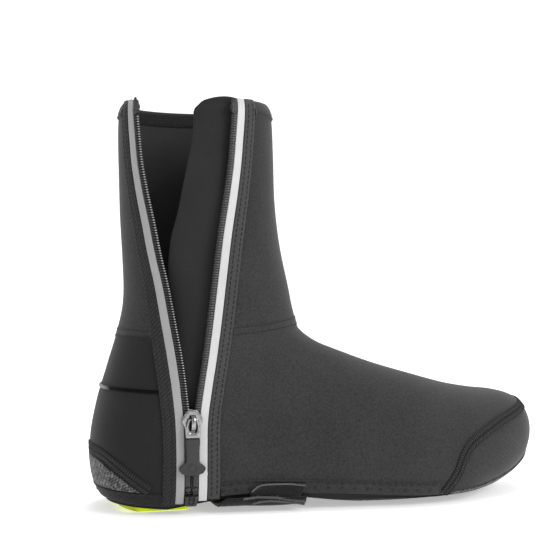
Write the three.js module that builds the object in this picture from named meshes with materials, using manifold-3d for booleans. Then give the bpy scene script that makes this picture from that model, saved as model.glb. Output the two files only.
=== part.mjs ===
// A right-foot neoprene cycling overshoe with its side zip open, standing empty on its sole.
// Millimetres, +Z up, +X to the toe, +Y to the medial side. The zip is on the lateral side, at -Y.
// Reach is measured forward from the back of the heel, and rise up from the floor.
import * as THREE from "three";
import { mergeVertices } from "three/addons/utils/BufferGeometryUtils.js";
import Module from "manifold-3d";

const wasm = await Module();
wasm.setup();

// Driving sizes
const length = 294; // back of the heel to the tip of the toe
const height = 246; // floor to the collar's edge
const ballWidth = 106; // widest part of the foot
const shaftWidth = 84; // across the shaft
const wall = 3; // foam rubber with cloth faces
const gap = 0.3; // between pieces that meet

// Sewn bands and folded edges
const seamWidth = 6.5;
const seamPly = 0.8;
const collarHem = 9.5;
const lowerHem = 7.5;
const hemPly = 0.8;
const pipingWidth = 1.6;
const pipingPly = 0.9;
const patchPly = 0.7;

// Sole
const archLift = 11.5; // the upper's lower edge at the arch, above the floor
const basePly = 2; // sole under heel and arch
const soleInset = 2.5; // the sole's edge, inside the upper's face
const treadFlat = 32; // half the width that is flat on the floor
const camber = 3; // the sole's lift at its edge
const camberRun = 12; // the width over which it lifts
const cleatLength = 68;
const cleatHalfWidth = 21;
const cleatReach = 187; // middle of the cleat opening
const slotHalfWidth = 13;
const slotBack = 72; // rear end of the slot under the arch
const padLength = 40;
const padWidth = 46;
const padReach = 35.5; // middle of the heel pad
const padCorner = 7; // cut off its rear corners in plan
const padBevel = 10; // length of the bevel under its rear
const padBevelRise = 3.2;

// Zip, measured along the cloth from each row of teeth outward
const teethWidth = 2.4; // one row of teeth
const teethPly = 2.2;
const teethProud = 0.6; // how far the teeth stand above the cloth
const stopFoot = 13.6; // lower end of the two stops, above the floor
const stopLength = 3.2;
const stopProud = 1.5;
const tapeWidth = 4.2;
const tapePly = 1;
const stripWidth = 5;
const stripPly = 0.6;
const stripEdge = 3.7; // from the teeth's inner line to the strip
const bindingWidth = 7.3;
const bindingPly = 0.9;
const garageFoot = 5.8; // lower end of the box at the zip's foot, above the floor
const garageHeight = 6;
const garageWidth = 7.4;
const garageProud = 2.4;
const garageBack = 1.8;

// Slider and pull
const sliderRise = 54.5;
const sliderLength = 15;
const sliderWidth = 12.5;
const sliderEnd = 8.4; // width of the plates' ends
const platePly = 1.3;
const plateClear = 0.6; // between the plates and the teeth
const neckWidth = 2;
const neckLength = 3;
const neckAbove = 5.5; // from the slider's middle up to the neck's
const bridgeWidth = 2.6;
const bridgeLength = 9;
const bridgeProud = 4;
const bridgePly = 1.1;
const pivotAbove = 2; // from the slider's middle up to the pull's pivot
const linkWidth = 8.8;
const linkLength = 10.8;
const linkPly = 1.2;
const linkSide = 1.5; // width of the link's two legs and of the bar under the bridge
const linkHole = 7.6; // from the pivot to the far end of the hole
const tabWidth = 8.4;
const tabWaist = 7;
const tabLength = 21.5;
const tabBack = 1.9; // the tab's inner and outer faces, from the link's middle
const tabFront = 1.1;
const earSpan = 16;
const earHeight = 7.6;
const restHeight = 3.9; // the tab's end above the cloth

// Storm flap behind the zip
const flapPly = 1.2;
const flapClear = 0.8; // between the flap and the upper's inner face
const flapRise = 1.5; // above the collar
const flapFoot = 20;
const flapCorner = 14; // radius of its top corner
const flapUnder = 6; // how far it runs on under the front cloth

// Hook and loop closure under the arch
const strapBack = 70;
const strapFront = 123;
const loopPly = 1.5;
const loopLow = 3.2; // its underside above the floor
const loopRise = 10; // its lateral end
const hookBack = 89.5;
const hookPly = 1.2;
const hookLow = 6;
const hookRise = 17; // the hook tab's upper edge, and the loop's medial end
const strapRound = 12; // radius of the strap's rear corner

// The last, from the collar down round the heel and out to the toe. Each section lies in one plane,
// between a point on the front or top line and a point on the back or sole line.
// Reaches are shares of length, rises of height. Half widths are shares of the ball's or, by the
// share called shaft, of the shaft's width. widest is how far up the section it is widest.
const columns = [
  "frontReach", "frontRise", "backReach", "backRise", "lateral", "medial",
  "shaft", "widest", "roundTop", "roundLow", "bow", "steps",
];
const sections = [
  [0.371, 1.0, 0.075, 1.0, 0.476, 0.47, 1, 0.5, 2.1, 2.1, 0, 1],
  [0.383, 0.967, 0.0633, 0.967, 0.506, 0.494, 1, 0.5, 2.1, 2.1, 0, 1],
  [0.387, 0.874, 0.0605, 0.874, 0.512, 0.5, 1, 0.5, 2.1, 2.1, 0, 1],
  [0.392, 0.76, 0.0633, 0.748, 0.506, 0.494, 1, 0.5, 2.1, 2.1, 0, 1],
  [0.404, 0.642, 0.0687, 0.618, 0.494, 0.482, 1, 0.49, 2.1, 2.1, 0, 1],
  [0.421, 0.545, 0.07, 0.512, 0.482, 0.47, 1, 0.47, 2.1, 2.1, 0, 1],
  [0.4345, 0.4755, 0.058, 0.435, 0.476, 0.464, 1, 0.44, 2.1, 2.1, 0, 1],
  [0.444, 0.443, 0.037, 0.35, 0.455, 0.444, 0.8, 0.4, 2.05, 2.15, 0, 1],
  [0.453, 0.431, 0.0136, 0.252, 0.44, 0.429, 0.6, 0.36, 2.0, 2.25, 0, 1],
  [0.465, 0.4195, 0.002, 0.15, 0.423, 0.412, 0.4, 0.33, 2.0, 2.35, 0, 2],
  [0.481, 0.407, 0.0204, 0.04, 0.408, 0.394, 0.2, 0.3, 2.0, 2.5, 0, 2],
  [0.501, 0.395, 0.088, -0.02, 0.396, 0.373, 0, 0.29, 2.0, 2.8, 0, 1],
  [0.531, 0.381, 0.211, -0.024, 0.41, 0.382, 0, 0.29, 2.0, 3.0, 0.005, 1],
  [0.573, 0.362, 0.357, -0.012, 0.443, 0.41, 0, 0.3, 2.0, 3.0, 0.005, 1],
  [0.634, 0.336, 0.51, -0.02, 0.486, 0.457, 0, 0.31, 2.05, 3.0, 0, 1],
  [0.7075, 0.31, 0.646, -0.0285, 0.509, 0.495, 0, 0.32, 2.1, 3.0, 0, 1],
  [0.786, 0.286, 0.772, -0.02, 0.481, 0.481, 0, 0.35, 2.2, 2.8, 0.014, 1],
  [0.857, 0.2705, 0.8535, 0.004, 0.415, 0.425, 0, 0.4, 2.25, 2.6, 0.033, 1],
  [0.915, 0.261, 0.915, 0.0285, 0.344, 0.354, 0, 0.44, 2.25, 2.4, 0.042, 2],
  [0.956, 0.246, 0.956, 0.055, 0.269, 0.274, 0, 0.47, 2.2, 2.3, 0.047, 1],
  [0.9823, 0.22, 0.9823, 0.0855, 0.179, 0.184, 0, 0.5, 2.1, 2.1, 0.049, 1],
  [0.996, 0.189, 0.996, 0.114, 0.094, 0.094, 0, 0.5, 2.0, 2.0, 0.05, 1],
  [1.0, 0.151, 1.0, 0.151, 0, 0, 0, 0.5, 2.0, 2.0, 0.05, 1],
].map((row) => Object.fromEntries(columns.map((name, i) => [name, row[i]])));

const aroundSteps = 28;
const collarSpare = 20; // the form runs on above the collar, and each piece is trimmed to its own edge

// The seat between upper and sole, seen from the side: reach, rise as a share of archLift, and how
// much of the space below it the tread fills.
const seat = [
  [-0.05, 0.8, 0], [0.034, 0.65, 0], [0.085, 0.54, 0], [0.14, 0.45, 0], [0.19, 0.68, 0],
  [0.25, 0.92, 0], [0.31, 1.0, 0], [0.4, 0.94, 0.04], [0.49, 0.83, 0.3], [0.55, 0.74, 0.72],
  [0.6, 0.66, 0.97], [0.63, 0.62, 1], [0.7, 0.53, 1], [0.765, 0.53, 1], [0.82, 0.56, 0.8],
  [0.9, 0.58, 0], [1.05, 0.58, 0],
].map(([reach, rise, tread]) => ({ reach, rise, tread }));

// The two rows of teeth, from the sole to the collar: rise as a share of height, reaches of length.
const zip = [
  [0.0, 0.182, 0.186], [0.13, 0.183, 0.187], [0.2, 0.1825, 0.188], [0.23, 0.181, 0.1885],
  [0.26, 0.178, 0.193], [0.31, 0.1735, 0.199], [0.38, 0.1665, 0.209], [0.455, 0.1565, 0.217],
  [0.55, 0.143, 0.226], [0.62, 0.1295, 0.233], [0.69, 0.119, 0.24], [0.765, 0.1055, 0.25],
  [0.845, 0.094, 0.26], [0.955, 0.088, 0.268], [1.02, 0.088, 0.27],
].map(([rise, rear, front]) => ({ rise, rear, front }));

// The storm flap's free edge, from its foot to its rounded top corner.
const flapEdge = [
  [0.08, 0.175], [0.3, 0.155], [0.5, 0.135], [0.64, 0.14], [0.72, 0.156],
  [0.8, 0.17], [0.86, 0.181], [0.92, 0.19],
].map(([rise, reach]) => ({ rise, reach }));

// Seams on the side view, as reach and rise shares.
const ankleSeam = [
  [0.02, 0.43], [0.075, 0.431], [0.12, 0.428], [0.27, 0.437], [0.33, 0.442], [0.38, 0.449], [0.47, 0.462],
];
const pipingLine = [[-0.01, 0.299], [0.05, 0.2985], [0.13, 0.294]];
const heelSeam = [
  [-0.03, 0.158], [0.012, 0.144], [0.037, 0.121], [0.07, 0.088], [0.1, 0.062], [0.13, 0.03],
];
const toeSeam = [
  [0.71, 0.02], [0.727, 0.045], [0.748, 0.078], [0.763, 0.115], [0.785, 0.145],
  [0.83, 0.172], [0.88, 0.195], [0.935, 0.214], [0.99, 0.234],
];
const toePatch = [[0.74, 0.052], [0.8, 0.052], [0.88, 0.058], [0.94, 0.075], [0.975, 0.1]];

const farAway = 200; // past every side of the overshoe

// Solids and plain helpers

// A closed geometry as a solid, for joins and cuts.
function solidFrom(geometry) {
  const bare = new THREE.BufferGeometry();
  bare.setAttribute("position", geometry.getAttribute("position"));
  bare.setIndex(geometry.getIndex());
  const merged = mergeVertices(bare, 1e-4);
  return new wasm.Manifold(new wasm.Mesh({
    numProp: 3,
    vertProperties: new Float32Array(merged.getAttribute("position").array),
    triVerts: new Uint32Array(merged.getIndex().array),
  }));
}

function geometryFrom(solid) {
  const mesh = solid.getMesh();
  const geometry = new THREE.BufferGeometry();
  geometry.setAttribute("position", new THREE.BufferAttribute(new Float32Array(mesh.vertProperties), 3));
  geometry.setIndex(new THREE.BufferAttribute(new Uint32Array(mesh.triVerts), 1));
  geometry.computeVertexNormals();
  return geometry;
}

const outline = (points) => new THREE.Shape(points.map(([a, b]) => new THREE.Vector2(a, b)));

const axis = (x, y, z) => new THREE.Vector3(x, y, z);

// A prism whose outline is drawn in two directions and run along the third.
function prism(shape, depth, across, up, along, start) {
  const geometry = new THREE.ExtrudeGeometry(shape, { depth, bevelEnabled: false, curveSegments: 8 });
  const place = new THREE.Matrix4().makeBasis(across, up, along);
  place.setPosition(along.clone().multiplyScalar(start));
  geometry.applyMatrix4(place);
  return solidFrom(geometry);
}

// Side-view outline, from the high y to the low y.
const sidePrism = (shape, highY, lowY) =>
  prism(shape, highY - lowY, axis(1, 0, 0), axis(0, 0, 1), axis(0, -1, 0), -highY);
// Plan outline, from low z to high z.
const planPrism = (shape, lowZ, highZ) =>
  prism(shape, highZ - lowZ, axis(1, 0, 0), axis(0, 1, 0), axis(0, 0, 1), lowZ);
// Front-view outline, from low x to high x.
const frontPrism = (shape, lowX, highX) =>
  prism(shape, highX - lowX, axis(0, 1, 0), axis(0, 0, 1), axis(1, 0, 0), lowX);

// The value of one column of a table at a place along it, straight between the rows.
function along(table, key, name, value) {
  let i = 0;
  while (i < table.length - 2 && table[i + 1][key] < value) i += 1;
  const [a, b] = [table[i], table[i + 1]];
  const share = (value - a[key]) / (b[key] - a[key]);
  return a[name] + (b[name] - a[name]) * Math.min(1, Math.max(0, share));
}

const inSize = (points) => points.map(([reach, rise]) => [reach * length, rise * height]);

// A line in the side view, moved to its right by a distance.
function shiftLine(points, distance) {
  return points.map(([x, z], i) => {
    const before = points[Math.max(0, i - 1)];
    const after = points[Math.min(points.length - 1, i + 1)];
    const run = new THREE.Vector2(after[0] - before[0], after[1] - before[1]).normalize();
    return [x + run.y * distance, z - run.x * distance];
  });
}

// A band of even width along such a line.
const bandPoints = (points, width) => [
  ...shiftLine(points, width / 2), ...shiftLine(points, -width / 2).reverse(),
];

// A rectangle with round corners, even about the middle plane.
function roundedBox(lowX, highX, half, radius) {
  const centres = [
    [highX - radius, half - radius, 0], [lowX + radius, half - radius, 1],
    [lowX + radius, radius - half, 2], [highX - radius, radius - half, 3],
  ];
  const cornerSteps = 4;
  return outline(centres.flatMap(([x, y, corner]) =>
    Array.from({ length: cornerSteps + 1 }, (_, i) => {
      const turn = (Math.PI / 2) * (corner + i / cornerSteps);
      return [x + radius * Math.cos(turn), y + radius * Math.sin(turn)];
    })));
}

// The last's surface

const signedPower = (a, power) => Math.sign(a) * Math.abs(a) ** power;

// All columns of the section table at u, on a smooth curve through the rows.
function sectionAt(u) {
  const last = sections.length - 1;
  const i = Math.min(last - 1, Math.max(0, Math.floor(u)));
  const t = u - i;
  const rows = [Math.max(0, i - 1), i, i + 1, Math.min(last, i + 2)].map((k) => sections[k]);
  const found = {};
  for (const name of columns) {
    const [a, b, c, d] = rows.map((row) => row[name]);
    const [startSlope, endSlope] = [(c - a) / 2, (d - b) / 2];
    found[name] = (2 * t ** 3 - 3 * t ** 2 + 1) * b + (t ** 3 - 2 * t ** 2 + t) * startSlope
      + (3 * t ** 2 - 2 * t ** 3) * c + (t ** 3 - t ** 2) * endSlope;
  }
  return found;
}

// The point at section u and angle a: 0 is the lateral side, a quarter turn the front or top.
function lastPoint(u, a) {
  const s = sectionAt(u);
  const power = 2 / (Math.sin(a) >= 0 ? s.roundTop : s.roundLow);
  const side = signedPower(Math.cos(a), power);
  const lift = Math.abs(Math.sin(a)) ** power;
  const share = Math.sin(a) >= 0 ? s.widest + (1 - s.widest) * lift : s.widest * (1 - lift);
  const width = s.shaft * shaftWidth + (1 - s.shaft) * ballWidth;
  return axis(
    length * (s.backReach + (s.frontReach - s.backReach) * share),
    s.bow * ballWidth - side * width * (side >= 0 ? s.lateral : s.medial),
    height * (s.backRise + (s.frontRise - s.backRise) * share),
  );
}

// The outward direction there, from two short steps along the surface.
function lastNormal(u, a) {
  const last = sections.length - 1;
  const step = 1e-3;
  const near = Math.min(last - 0.02, Math.max(step, u));
  const alongU = lastPoint(near + step, a).sub(lastPoint(near - step, a));
  const alongA = lastPoint(near, a + step).sub(lastPoint(near, a - step));
  return alongU.cross(alongA).normalize();
}

const quarter = Math.PI / 2;
const rings = sections.slice(0, -1).flatMap((row, i) =>
  Array.from({ length: row.steps }, (_, k) => i + k / row.steps));

// The last grown by an offset, as a closed solid that runs on above the collar.
const forms = new Map();
function form(offset) {
  if (forms.has(offset)) return forms.get(offset);
  const points = [];
  const turn = (k) => (2 * Math.PI * k) / aroundSteps - quarter;
  const grown = (u, a) => lastPoint(u, a).addScaledVector(lastNormal(u, a), offset);
  for (const u of rings) {
    for (let k = 0; k < aroundSteps; k += 1) points.push(grown(u, turn(k)));
  }
  for (let k = 0; k < aroundSteps; k += 1) {
    points[k].z = height; // the collar's ring stays level
  }
  const top = points.slice(0, aroundSteps).map((p) => p.clone().setZ(height + collarSpare));
  const all = [...top, ...points];
  const ringCount = rings.length + 1;
  const capCentre = all.length;
  all.push(top.reduce((sum, p) => sum.add(p), axis(0, 0, 0)).divideScalar(aroundSteps));
  const toeTip = all.length;
  all.push(lastPoint(sections.length - 1, 0).add(axis(offset, 0, 0)));
  const index = [];
  for (let k = 0; k < aroundSteps; k += 1) {
    const next = (k + 1) % aroundSteps;
    index.push(capCentre, k, next);
    for (let i = 0; i < ringCount - 1; i += 1) {
      const [a, b] = [i * aroundSteps + k, i * aroundSteps + next];
      const [c, d] = [a + aroundSteps, b + aroundSteps];
      index.push(a, c, b, b, c, d);
    }
    const end = (ringCount - 1) * aroundSteps;
    index.push(end + k, toeTip, end + next);
  }
  const geometry = new THREE.BufferGeometry().setFromPoints(all);
  geometry.setIndex(index);
  const solid = solidFrom(geometry);
  forms.set(offset, solid);
  return solid;
}

// The cloth-like layer between two offsets, inside a region.
const layer = (high, low, region) => form(high).subtract(form(low)).intersect(region);

// Points on the lateral side, found by their reach and rise

const lateralGrid = [];
for (let u = 0; u <= sections.length - 1.5; u += 0.5) {
  for (let a = -quarter * 0.96; a <= quarter * 0.96; a += quarter / 12) {
    lateralGrid.push({ u, a, point: lastPoint(u, a) });
  }
}

function lateralAt(x, z) {
  const off = (g) => (g.point.x - x) ** 2 + (g.point.z - z) ** 2;
  let { u, a } = lateralGrid.reduce((best, g) => (off(g) < off(best) ? g : best));
  const step = 1e-3;
  const most = sections.length - 1.1;
  for (let turn = 0; turn < 12; turn += 1) {
    const p = lastPoint(u, a);
    const du = lastPoint(u + step, a).sub(p).divideScalar(step);
    const da = lastPoint(u, a + step).sub(p).divideScalar(step);
    const det = du.x * da.z - du.z * da.x;
    u = Math.min(most, Math.max(0, u + ((x - p.x) * da.z - (z - p.z) * da.x) / det));
    a = Math.min(quarter, Math.max(-quarter, a + (du.x * (z - p.z) - du.z * (x - p.x)) / det));
  }
  return { point: lastPoint(u, a), normal: lastNormal(u, a) };
}

// The reach that lies a distance away along the surface, at one rise. A minus goes back.
function walk(x, z, distance) {
  const parts = 8;
  let reach = x;
  for (let k = 0; k < parts; k += 1) {
    const here = lateralAt(reach, z).normal;
    reach += (distance / parts) * Math.abs(here.y) / Math.hypot(here.x, here.y);
  }
  return reach;
}

// A thick zone of the lateral side between two lines. Its cut edges stand square to the surface.
function lateralZone(rises, lowReach, highReach, depth = 8, parts = 2) {
  const [inner, outer] = [[], []];
  for (const z of rises) {
    for (let k = 0; k <= parts; k += 1) {
      const x = lowReach(z) + ((highReach(z) - lowReach(z)) * k) / parts;
      const { point, normal } = lateralAt(x, Math.min(z, height - 0.5));
      point.z = z;
      const flat = axis(normal.x, normal.y, z > height ? 0 : normal.z);
      inner.push(point.clone().addScaledVector(flat, -depth));
      outer.push(point.clone().addScaledVector(flat, depth));
    }
  }
  const count = inner.length;
  const row = parts + 1;
  const index = [];
  const quad = (a, b, c, d) => index.push(a, b, c, a, c, d);
  for (let i = 0; i < rises.length - 1; i += 1) {
    for (let k = 0; k < parts; k += 1) {
      const a = i * row + k;
      quad(count + a, count + a + 1, count + a + row + 1, count + a + row);
      quad(a, a + row, a + row + 1, a + 1);
    }
    const [low, high] = [i * row, i * row + parts];
    quad(low, count + low, count + low + row, low + row);
    quad(high, high + row, count + high + row, count + high);
  }
  const end = (rises.length - 1) * row;
  for (let k = 0; k < parts; k += 1) {
    quad(k, k + 1, count + k + 1, count + k);
    quad(end + k, count + end + k, count + end + k + 1, end + k + 1);
  }
  const geometry = new THREE.BufferGeometry().setFromPoints([...inner, ...outer]);
  geometry.setIndex(index);
  return solidFrom(geometry);
}

// Regions

const gapped = (value) => value + gap;
const seatLine = seat.map(({ reach, rise }) => [reach * length, rise * archLift]);
const lift = (points, rise) => points.map(([x, z]) => [x, z + rise]);
const [startX, endX] = [seatLine[0][0], seatLine[seatLine.length - 1][0]];
const through = (points) => sidePrism(outline(points), farAway, -farAway);
const aboveLine = (points, top) => through([...points, [endX, top], [startX, top]]);

const body = aboveLine(seatLine, height);
const overHem = aboveLine(lift(seatLine, gapped(lowerHem)), height - gapped(collarHem));
const lowerHemZone = through([...seatLine, ...lift(seatLine, lowerHem).reverse()]);

// Everything forward of the toe seam's rear or front edge.
function aheadOfToeSeam(shift) {
  const moved = shiftLine(inSize(toeSeam), shift);
  const [firstX, lastX] = [moved[0][0], moved[moved.length - 1][0]];
  return through([
    [firstX - 3, -20], [endX, -20], [endX, height], [lastX, height], ...moved.reverse(),
  ]);
}
const toeAhead = aheadOfToeSeam(-seamWidth / 2 - gap);

// Zones of the zip, by distances outward from the teeth's inner lines
const zoneShares = [
  0.008, 0.06, 0.13, 0.19, 0.235, 0.28, 0.35, 0.43, 0.53, 0.64, 0.75, 0.86, 0.95, 1.04,
];
const zoneRises = zoneShares.map((share) => share * height);
const rearLine = (z) => length * along(zip, "rise", "rear", z / height);
const frontLine = (z) => length * along(zip, "rise", "front", z / height);
const rearReach = (distance) => (z) => walk(rearLine(z), z, -distance);
const frontReach = (distance) => (z) => walk(frontLine(z), z, distance);
const rearZone = (near, far) => lateralZone(zoneRises, rearReach(far), rearReach(near));
const frontZone = (near, far) => lateralZone(zoneRises, frontReach(near), frontReach(far));
const zipZone = (distance) =>
  lateralZone(zoneRises, rearReach(distance), frontReach(distance), 8, 6);
const slab = (low, high) => through([[startX, low], [endX, low], [endX, high], [startX, high]]);

const tapeEdge = gapped(teethWidth);
const clothEdge = gapped(tapeEdge + tapeWidth);
const bindingEdge = gapped(stripEdge + stripWidth);
const zipSide = bindingEdge + bindingWidth;
const clearOfZip = (solid) => solid.subtract(zipZone(gapped(zipSide)));

// Upper
const collarZone = slab(height - collarHem, height);
const hems = form(hemPly).intersect(collarZone.add(lowerHemZone.subtract(toeAhead)));
const upper = form(0).add(clearOfZip(hems)).intersect(body)
  .subtract(form(-wall)).subtract(zipZone(clothEdge));

// Sewn bands
const seamLayer = (region) => layer(gapped(seamPly), gap, region);
const seamBand = (table) => through(bandPoints(inSize(table), seamWidth));
const ankleBand = clearOfZip(seamLayer(seamBand(ankleSeam)));
const toeBand = seamLayer(seamBand(toeSeam)).intersect(body);
const heelBand = clearOfZip(seamLayer(seamBand(heelSeam))).intersect(overHem);
const piping = clearOfZip(
  layer(gapped(pipingPly), gap, through(bandPoints(inSize(pipingLine), pipingWidth))));

// Woven patches at the heel and under the toe
const belowHeelSeam = through([
  ...shiftLine(inSize(heelSeam), seamWidth / 2 + gap), [startX, 0],
]);
const heelPatch = layer(gapped(patchPly), gap, belowHeelSeam.intersect(overHem));
const toePatchTop = inSize(toePatch);
const belowToePatch = through([
  ...toePatchTop, [endX, toePatchTop[toePatchTop.length - 1][1]], [endX, -20], [toePatchTop[0][0], -20],
]);
const toeUnder = layer(gapped(patchPly), gap,
  belowToePatch.intersect(aheadOfToeSeam(seamWidth / 2 + gap)).intersect(body));

// Zip
const aboveGarage = slab(gapped(garageFoot + garageHeight), height);
const stopSlab = slab(stopFoot, stopFoot + stopLength);
const tape = (zone) => layer(0, -tapePly, zone(tapeEdge, tapeEdge + tapeWidth).intersect(aboveGarage));
function teethRow(zone) {
  const row = zone(0, teethWidth);
  const open = slab(gapped(garageFoot + garageHeight), height - 2);
  return layer(teethProud, teethProud - teethPly, row.intersect(open))
    .add(layer(stopProud, 0, row.intersect(stopSlab)));
}
const strip = (zone) => layer(gapped(stripPly), gap, zone(stripEdge, stripEdge + stripWidth).intersect(body));
const binding = (zone) => layer(gapped(bindingPly), gap, zone(bindingEdge, zipSide).intersect(body));
const midLine = (z) => (rearLine(z) + frontLine(z)) / 2;
const garage = layer(garageProud, -garageBack, lateralZone(
  zoneRises, (z) => midLine(z) - garageWidth / 2, (z) => midLine(z) + garageWidth / 2)
  .intersect(slab(garageFoot, garageFoot + garageHeight)));

// Storm flap
const flapTop = height + flapRise;
const flapCornerX = flapEdge[flapEdge.length - 1].reach * length;
const cornerSteps = 6;
const flapOutline = [
  [startX, flapFoot], [endX, flapFoot], [endX, flapTop],
  ...Array.from({ length: cornerSteps + 1 }, (_, i) => {
    const turn = quarter * (1 + i / cornerSteps);
    return [
      flapCornerX + flapCorner * (1 + Math.cos(turn)),
      flapTop - flapCorner * (1 - Math.sin(turn)),
    ];
  }),
  [startX, flapTop - flapCorner],
];
const flapOut = -wall - flapClear;
const flap = layer(flapOut, flapOut - flapPly, lateralZone(
  zoneRises, (z) => length * along(flapEdge, "rise", "reach", z / height),
  frontReach(clothEdge + flapUnder), 8, 4).intersect(through(flapOutline)));

// Sole, open under the arch and the ball for a cleat
const soleTop = lift(seatLine, -gap);
const soleLow = seat.map(({ reach, rise, tread }) =>
  [reach * length, (rise * archLift - gap - basePly) * (1 - tread)]);
const camberCut = [-1, 1].map((side) => {
  const points = [0, 0.25, 0.5, 0.75, 1].map((share) =>
    [side * (treadFlat + camberRun * share), camber * share ** 2]);
  const far = side * farAway / 2;
  const low = [side * treadFlat, -5];
  const shape = [...points, [far, camber], [far, -5], low];
  return frontPrism(outline(side > 0 ? shape : shape.reverse()), 0.4 * length, 1.05 * length);
});
const cleatOutline = roundedBox(
  cleatReach - cleatLength / 2, cleatReach + cleatLength / 2, cleatHalfWidth, 9);
const slotOutline = roundedBox(slotBack, cleatReach, slotHalfWidth, 9);
const openings = planPrism(cleatOutline, -5, 20).add(planPrism(slotOutline, -5, 20));
const sole = form(-soleInset).intersect(through([...soleLow, ...soleTop.toReversed()]))
  .subtract(openings).subtract(camberCut[0]).subtract(camberCut[1]);

// Heel pad
const [padBack, padFront, padHalf] = [
  padReach - padLength / 2, padReach + padLength / 2, padWidth / 2,
];
const padPlan = outline([
  [padBack, -padHalf + padCorner], [padBack + padCorner, -padHalf], [padFront, -padHalf],
  [padFront, padHalf], [padBack + padCorner, padHalf], [padBack, padHalf - padCorner],
]);
const underSole = (x) => (along(seat, "reach", "rise", x / length) * archLift) - basePly - 2 * gap;
const padStations = [padBack - 1, 0.085 * length, 0.14 * length, 0.19 * length];
const padSide = [
  [padBack - 1, padBevelRise * (1 + 1 / padBevel)], [padBack + padBevel, 0],
  [padStations[3], 0], ...padStations.map((x) => [x, underSole(x)]).reverse(),
];
const pad = planPrism(padPlan, 0, archLift).intersect(through(padSide));

// Strap
const hookIn = gapped(hemPly);
const loopIn = { lateral: gapped(hookIn + hookPly), medial: hookIn };
const lateralHalf = planPrism(outline([
  [startX, -farAway], [endX, -farAway], [endX, 0], [startX, 0],
]), -20, height);
const medialHalf = planPrism(outline([
  [startX, 0], [endX, 0], [endX, farAway], [startX, farAway],
]), -20, height);
const roundSteps = 6;
const strapSide = [
  ...Array.from({ length: roundSteps + 1 }, (_, i) => {
    const turn = quarter * (i / roundSteps);
    return [
      strapBack + strapRound * (1 - Math.cos(turn)),
      loopLow + (loopRise - loopLow) * (1 - Math.sin(turn)),
    ];
  }),
  [strapFront, loopLow], [strapFront, hookRise], [strapBack, hookRise],
];
const strapArea = through(strapSide);
const sideBand = (low, high, back) => through([
  [back, low], [strapFront, low], [strapFront, high], [back, high],
]);
const plate = sideBand(loopLow, loopLow + loopPly, strapBack);
const loop = [
  layer(loopIn.lateral + loopPly, loopIn.lateral, sideBand(loopLow, loopRise, strapBack))
    .intersect(lateralHalf),
  layer(loopIn.medial + loopPly, loopIn.medial, sideBand(loopLow, hookRise, strapBack))
    .intersect(medialHalf),
  form(loopIn.lateral + loopPly).intersect(plate).intersect(lateralHalf),
  form(loopIn.medial + loopPly).intersect(plate).intersect(medialHalf),
].reduce((whole, part) => whole.add(part)).intersect(strapArea);
const hook = layer(hookIn + hookPly, hookIn, sideBand(hookLow, hookRise, hookBack))
  .intersect(lateralHalf);

// Slider and pull, in directions across the zip, up it and out of the cloth
const sliderSeat = lateralAt(midLine(sliderRise), sliderRise);
const upZip = lateralAt(midLine(sliderRise + 8), sliderRise + 8).point
  .sub(lateralAt(midLine(sliderRise - 8), sliderRise - 8).point).normalize();
const outward = sliderSeat.normal.clone()
  .addScaledVector(upZip, -sliderSeat.normal.dot(upZip)).normalize();
const across = upZip.clone().cross(outward);

// A prism drawn in two of the given directions about a place, between two levels along the third.
function localPrism(points, low, high, first, second, third, origin) {
  const shape = outline(points);
  const geometry = new THREE.ExtrudeGeometry(shape, { depth: high - low, bevelEnabled: false });
  const place = new THREE.Matrix4().makeBasis(first, second, third);
  place.setPosition(origin.clone().addScaledVector(third, low));
  geometry.applyMatrix4(place);
  return solidFrom(geometry);
}
const onSlider = (points, low, high) =>
  localPrism(points, low, high, across, upZip, outward, sliderSeat.point);
const besideSlider = (points, low, high) =>
  localPrism(points, low, high, upZip, outward, across, sliderSeat.point);
const rectangle = (lowA, highA, lowB, highB) => [
  [lowA, lowB], [highA, lowB], [highA, highB], [lowA, highB],
];

const plateLow = teethProud + plateClear;
const plateTop = plateLow + platePly;
const backTop = teethProud - teethPly - plateClear;
const [halfSlider, halfEnd, halfLong] = [sliderWidth / 2, sliderEnd / 2, sliderLength / 2];
const plateOutline = [
  [-halfEnd, -halfLong], [halfEnd, -halfLong], [halfEnd, -halfLong / 3], [halfSlider, 0],
  [halfSlider, halfLong * 0.4], [halfEnd * 0.8, halfLong], [-halfEnd * 0.8, halfLong],
  [-halfSlider, halfLong * 0.4], [-halfSlider, 0], [-halfEnd, -halfLong / 3],
];
const halfBridge = bridgeLength / 2;
const bridge = besideSlider(
  rectangle(-halfBridge, halfBridge, plateTop - 0.3, plateTop + bridgeProud),
  -bridgeWidth / 2, bridgeWidth / 2)
  .subtract(besideSlider(
    rectangle(bridgePly - halfBridge, halfBridge - bridgePly, plateTop, plateTop + bridgeProud - bridgePly),
    -bridgeWidth, bridgeWidth));
const neck = onSlider(
  rectangle(-neckWidth / 2, neckWidth / 2, neckAbove - neckLength / 2, neckAbove + neckLength / 2),
  backTop - platePly / 2, plateLow + platePly / 2);
const slider = onSlider(plateOutline, plateLow, plateTop)
  .add(onSlider(plateOutline, backTop - platePly, backTop)).add(neck).add(bridge);

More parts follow.
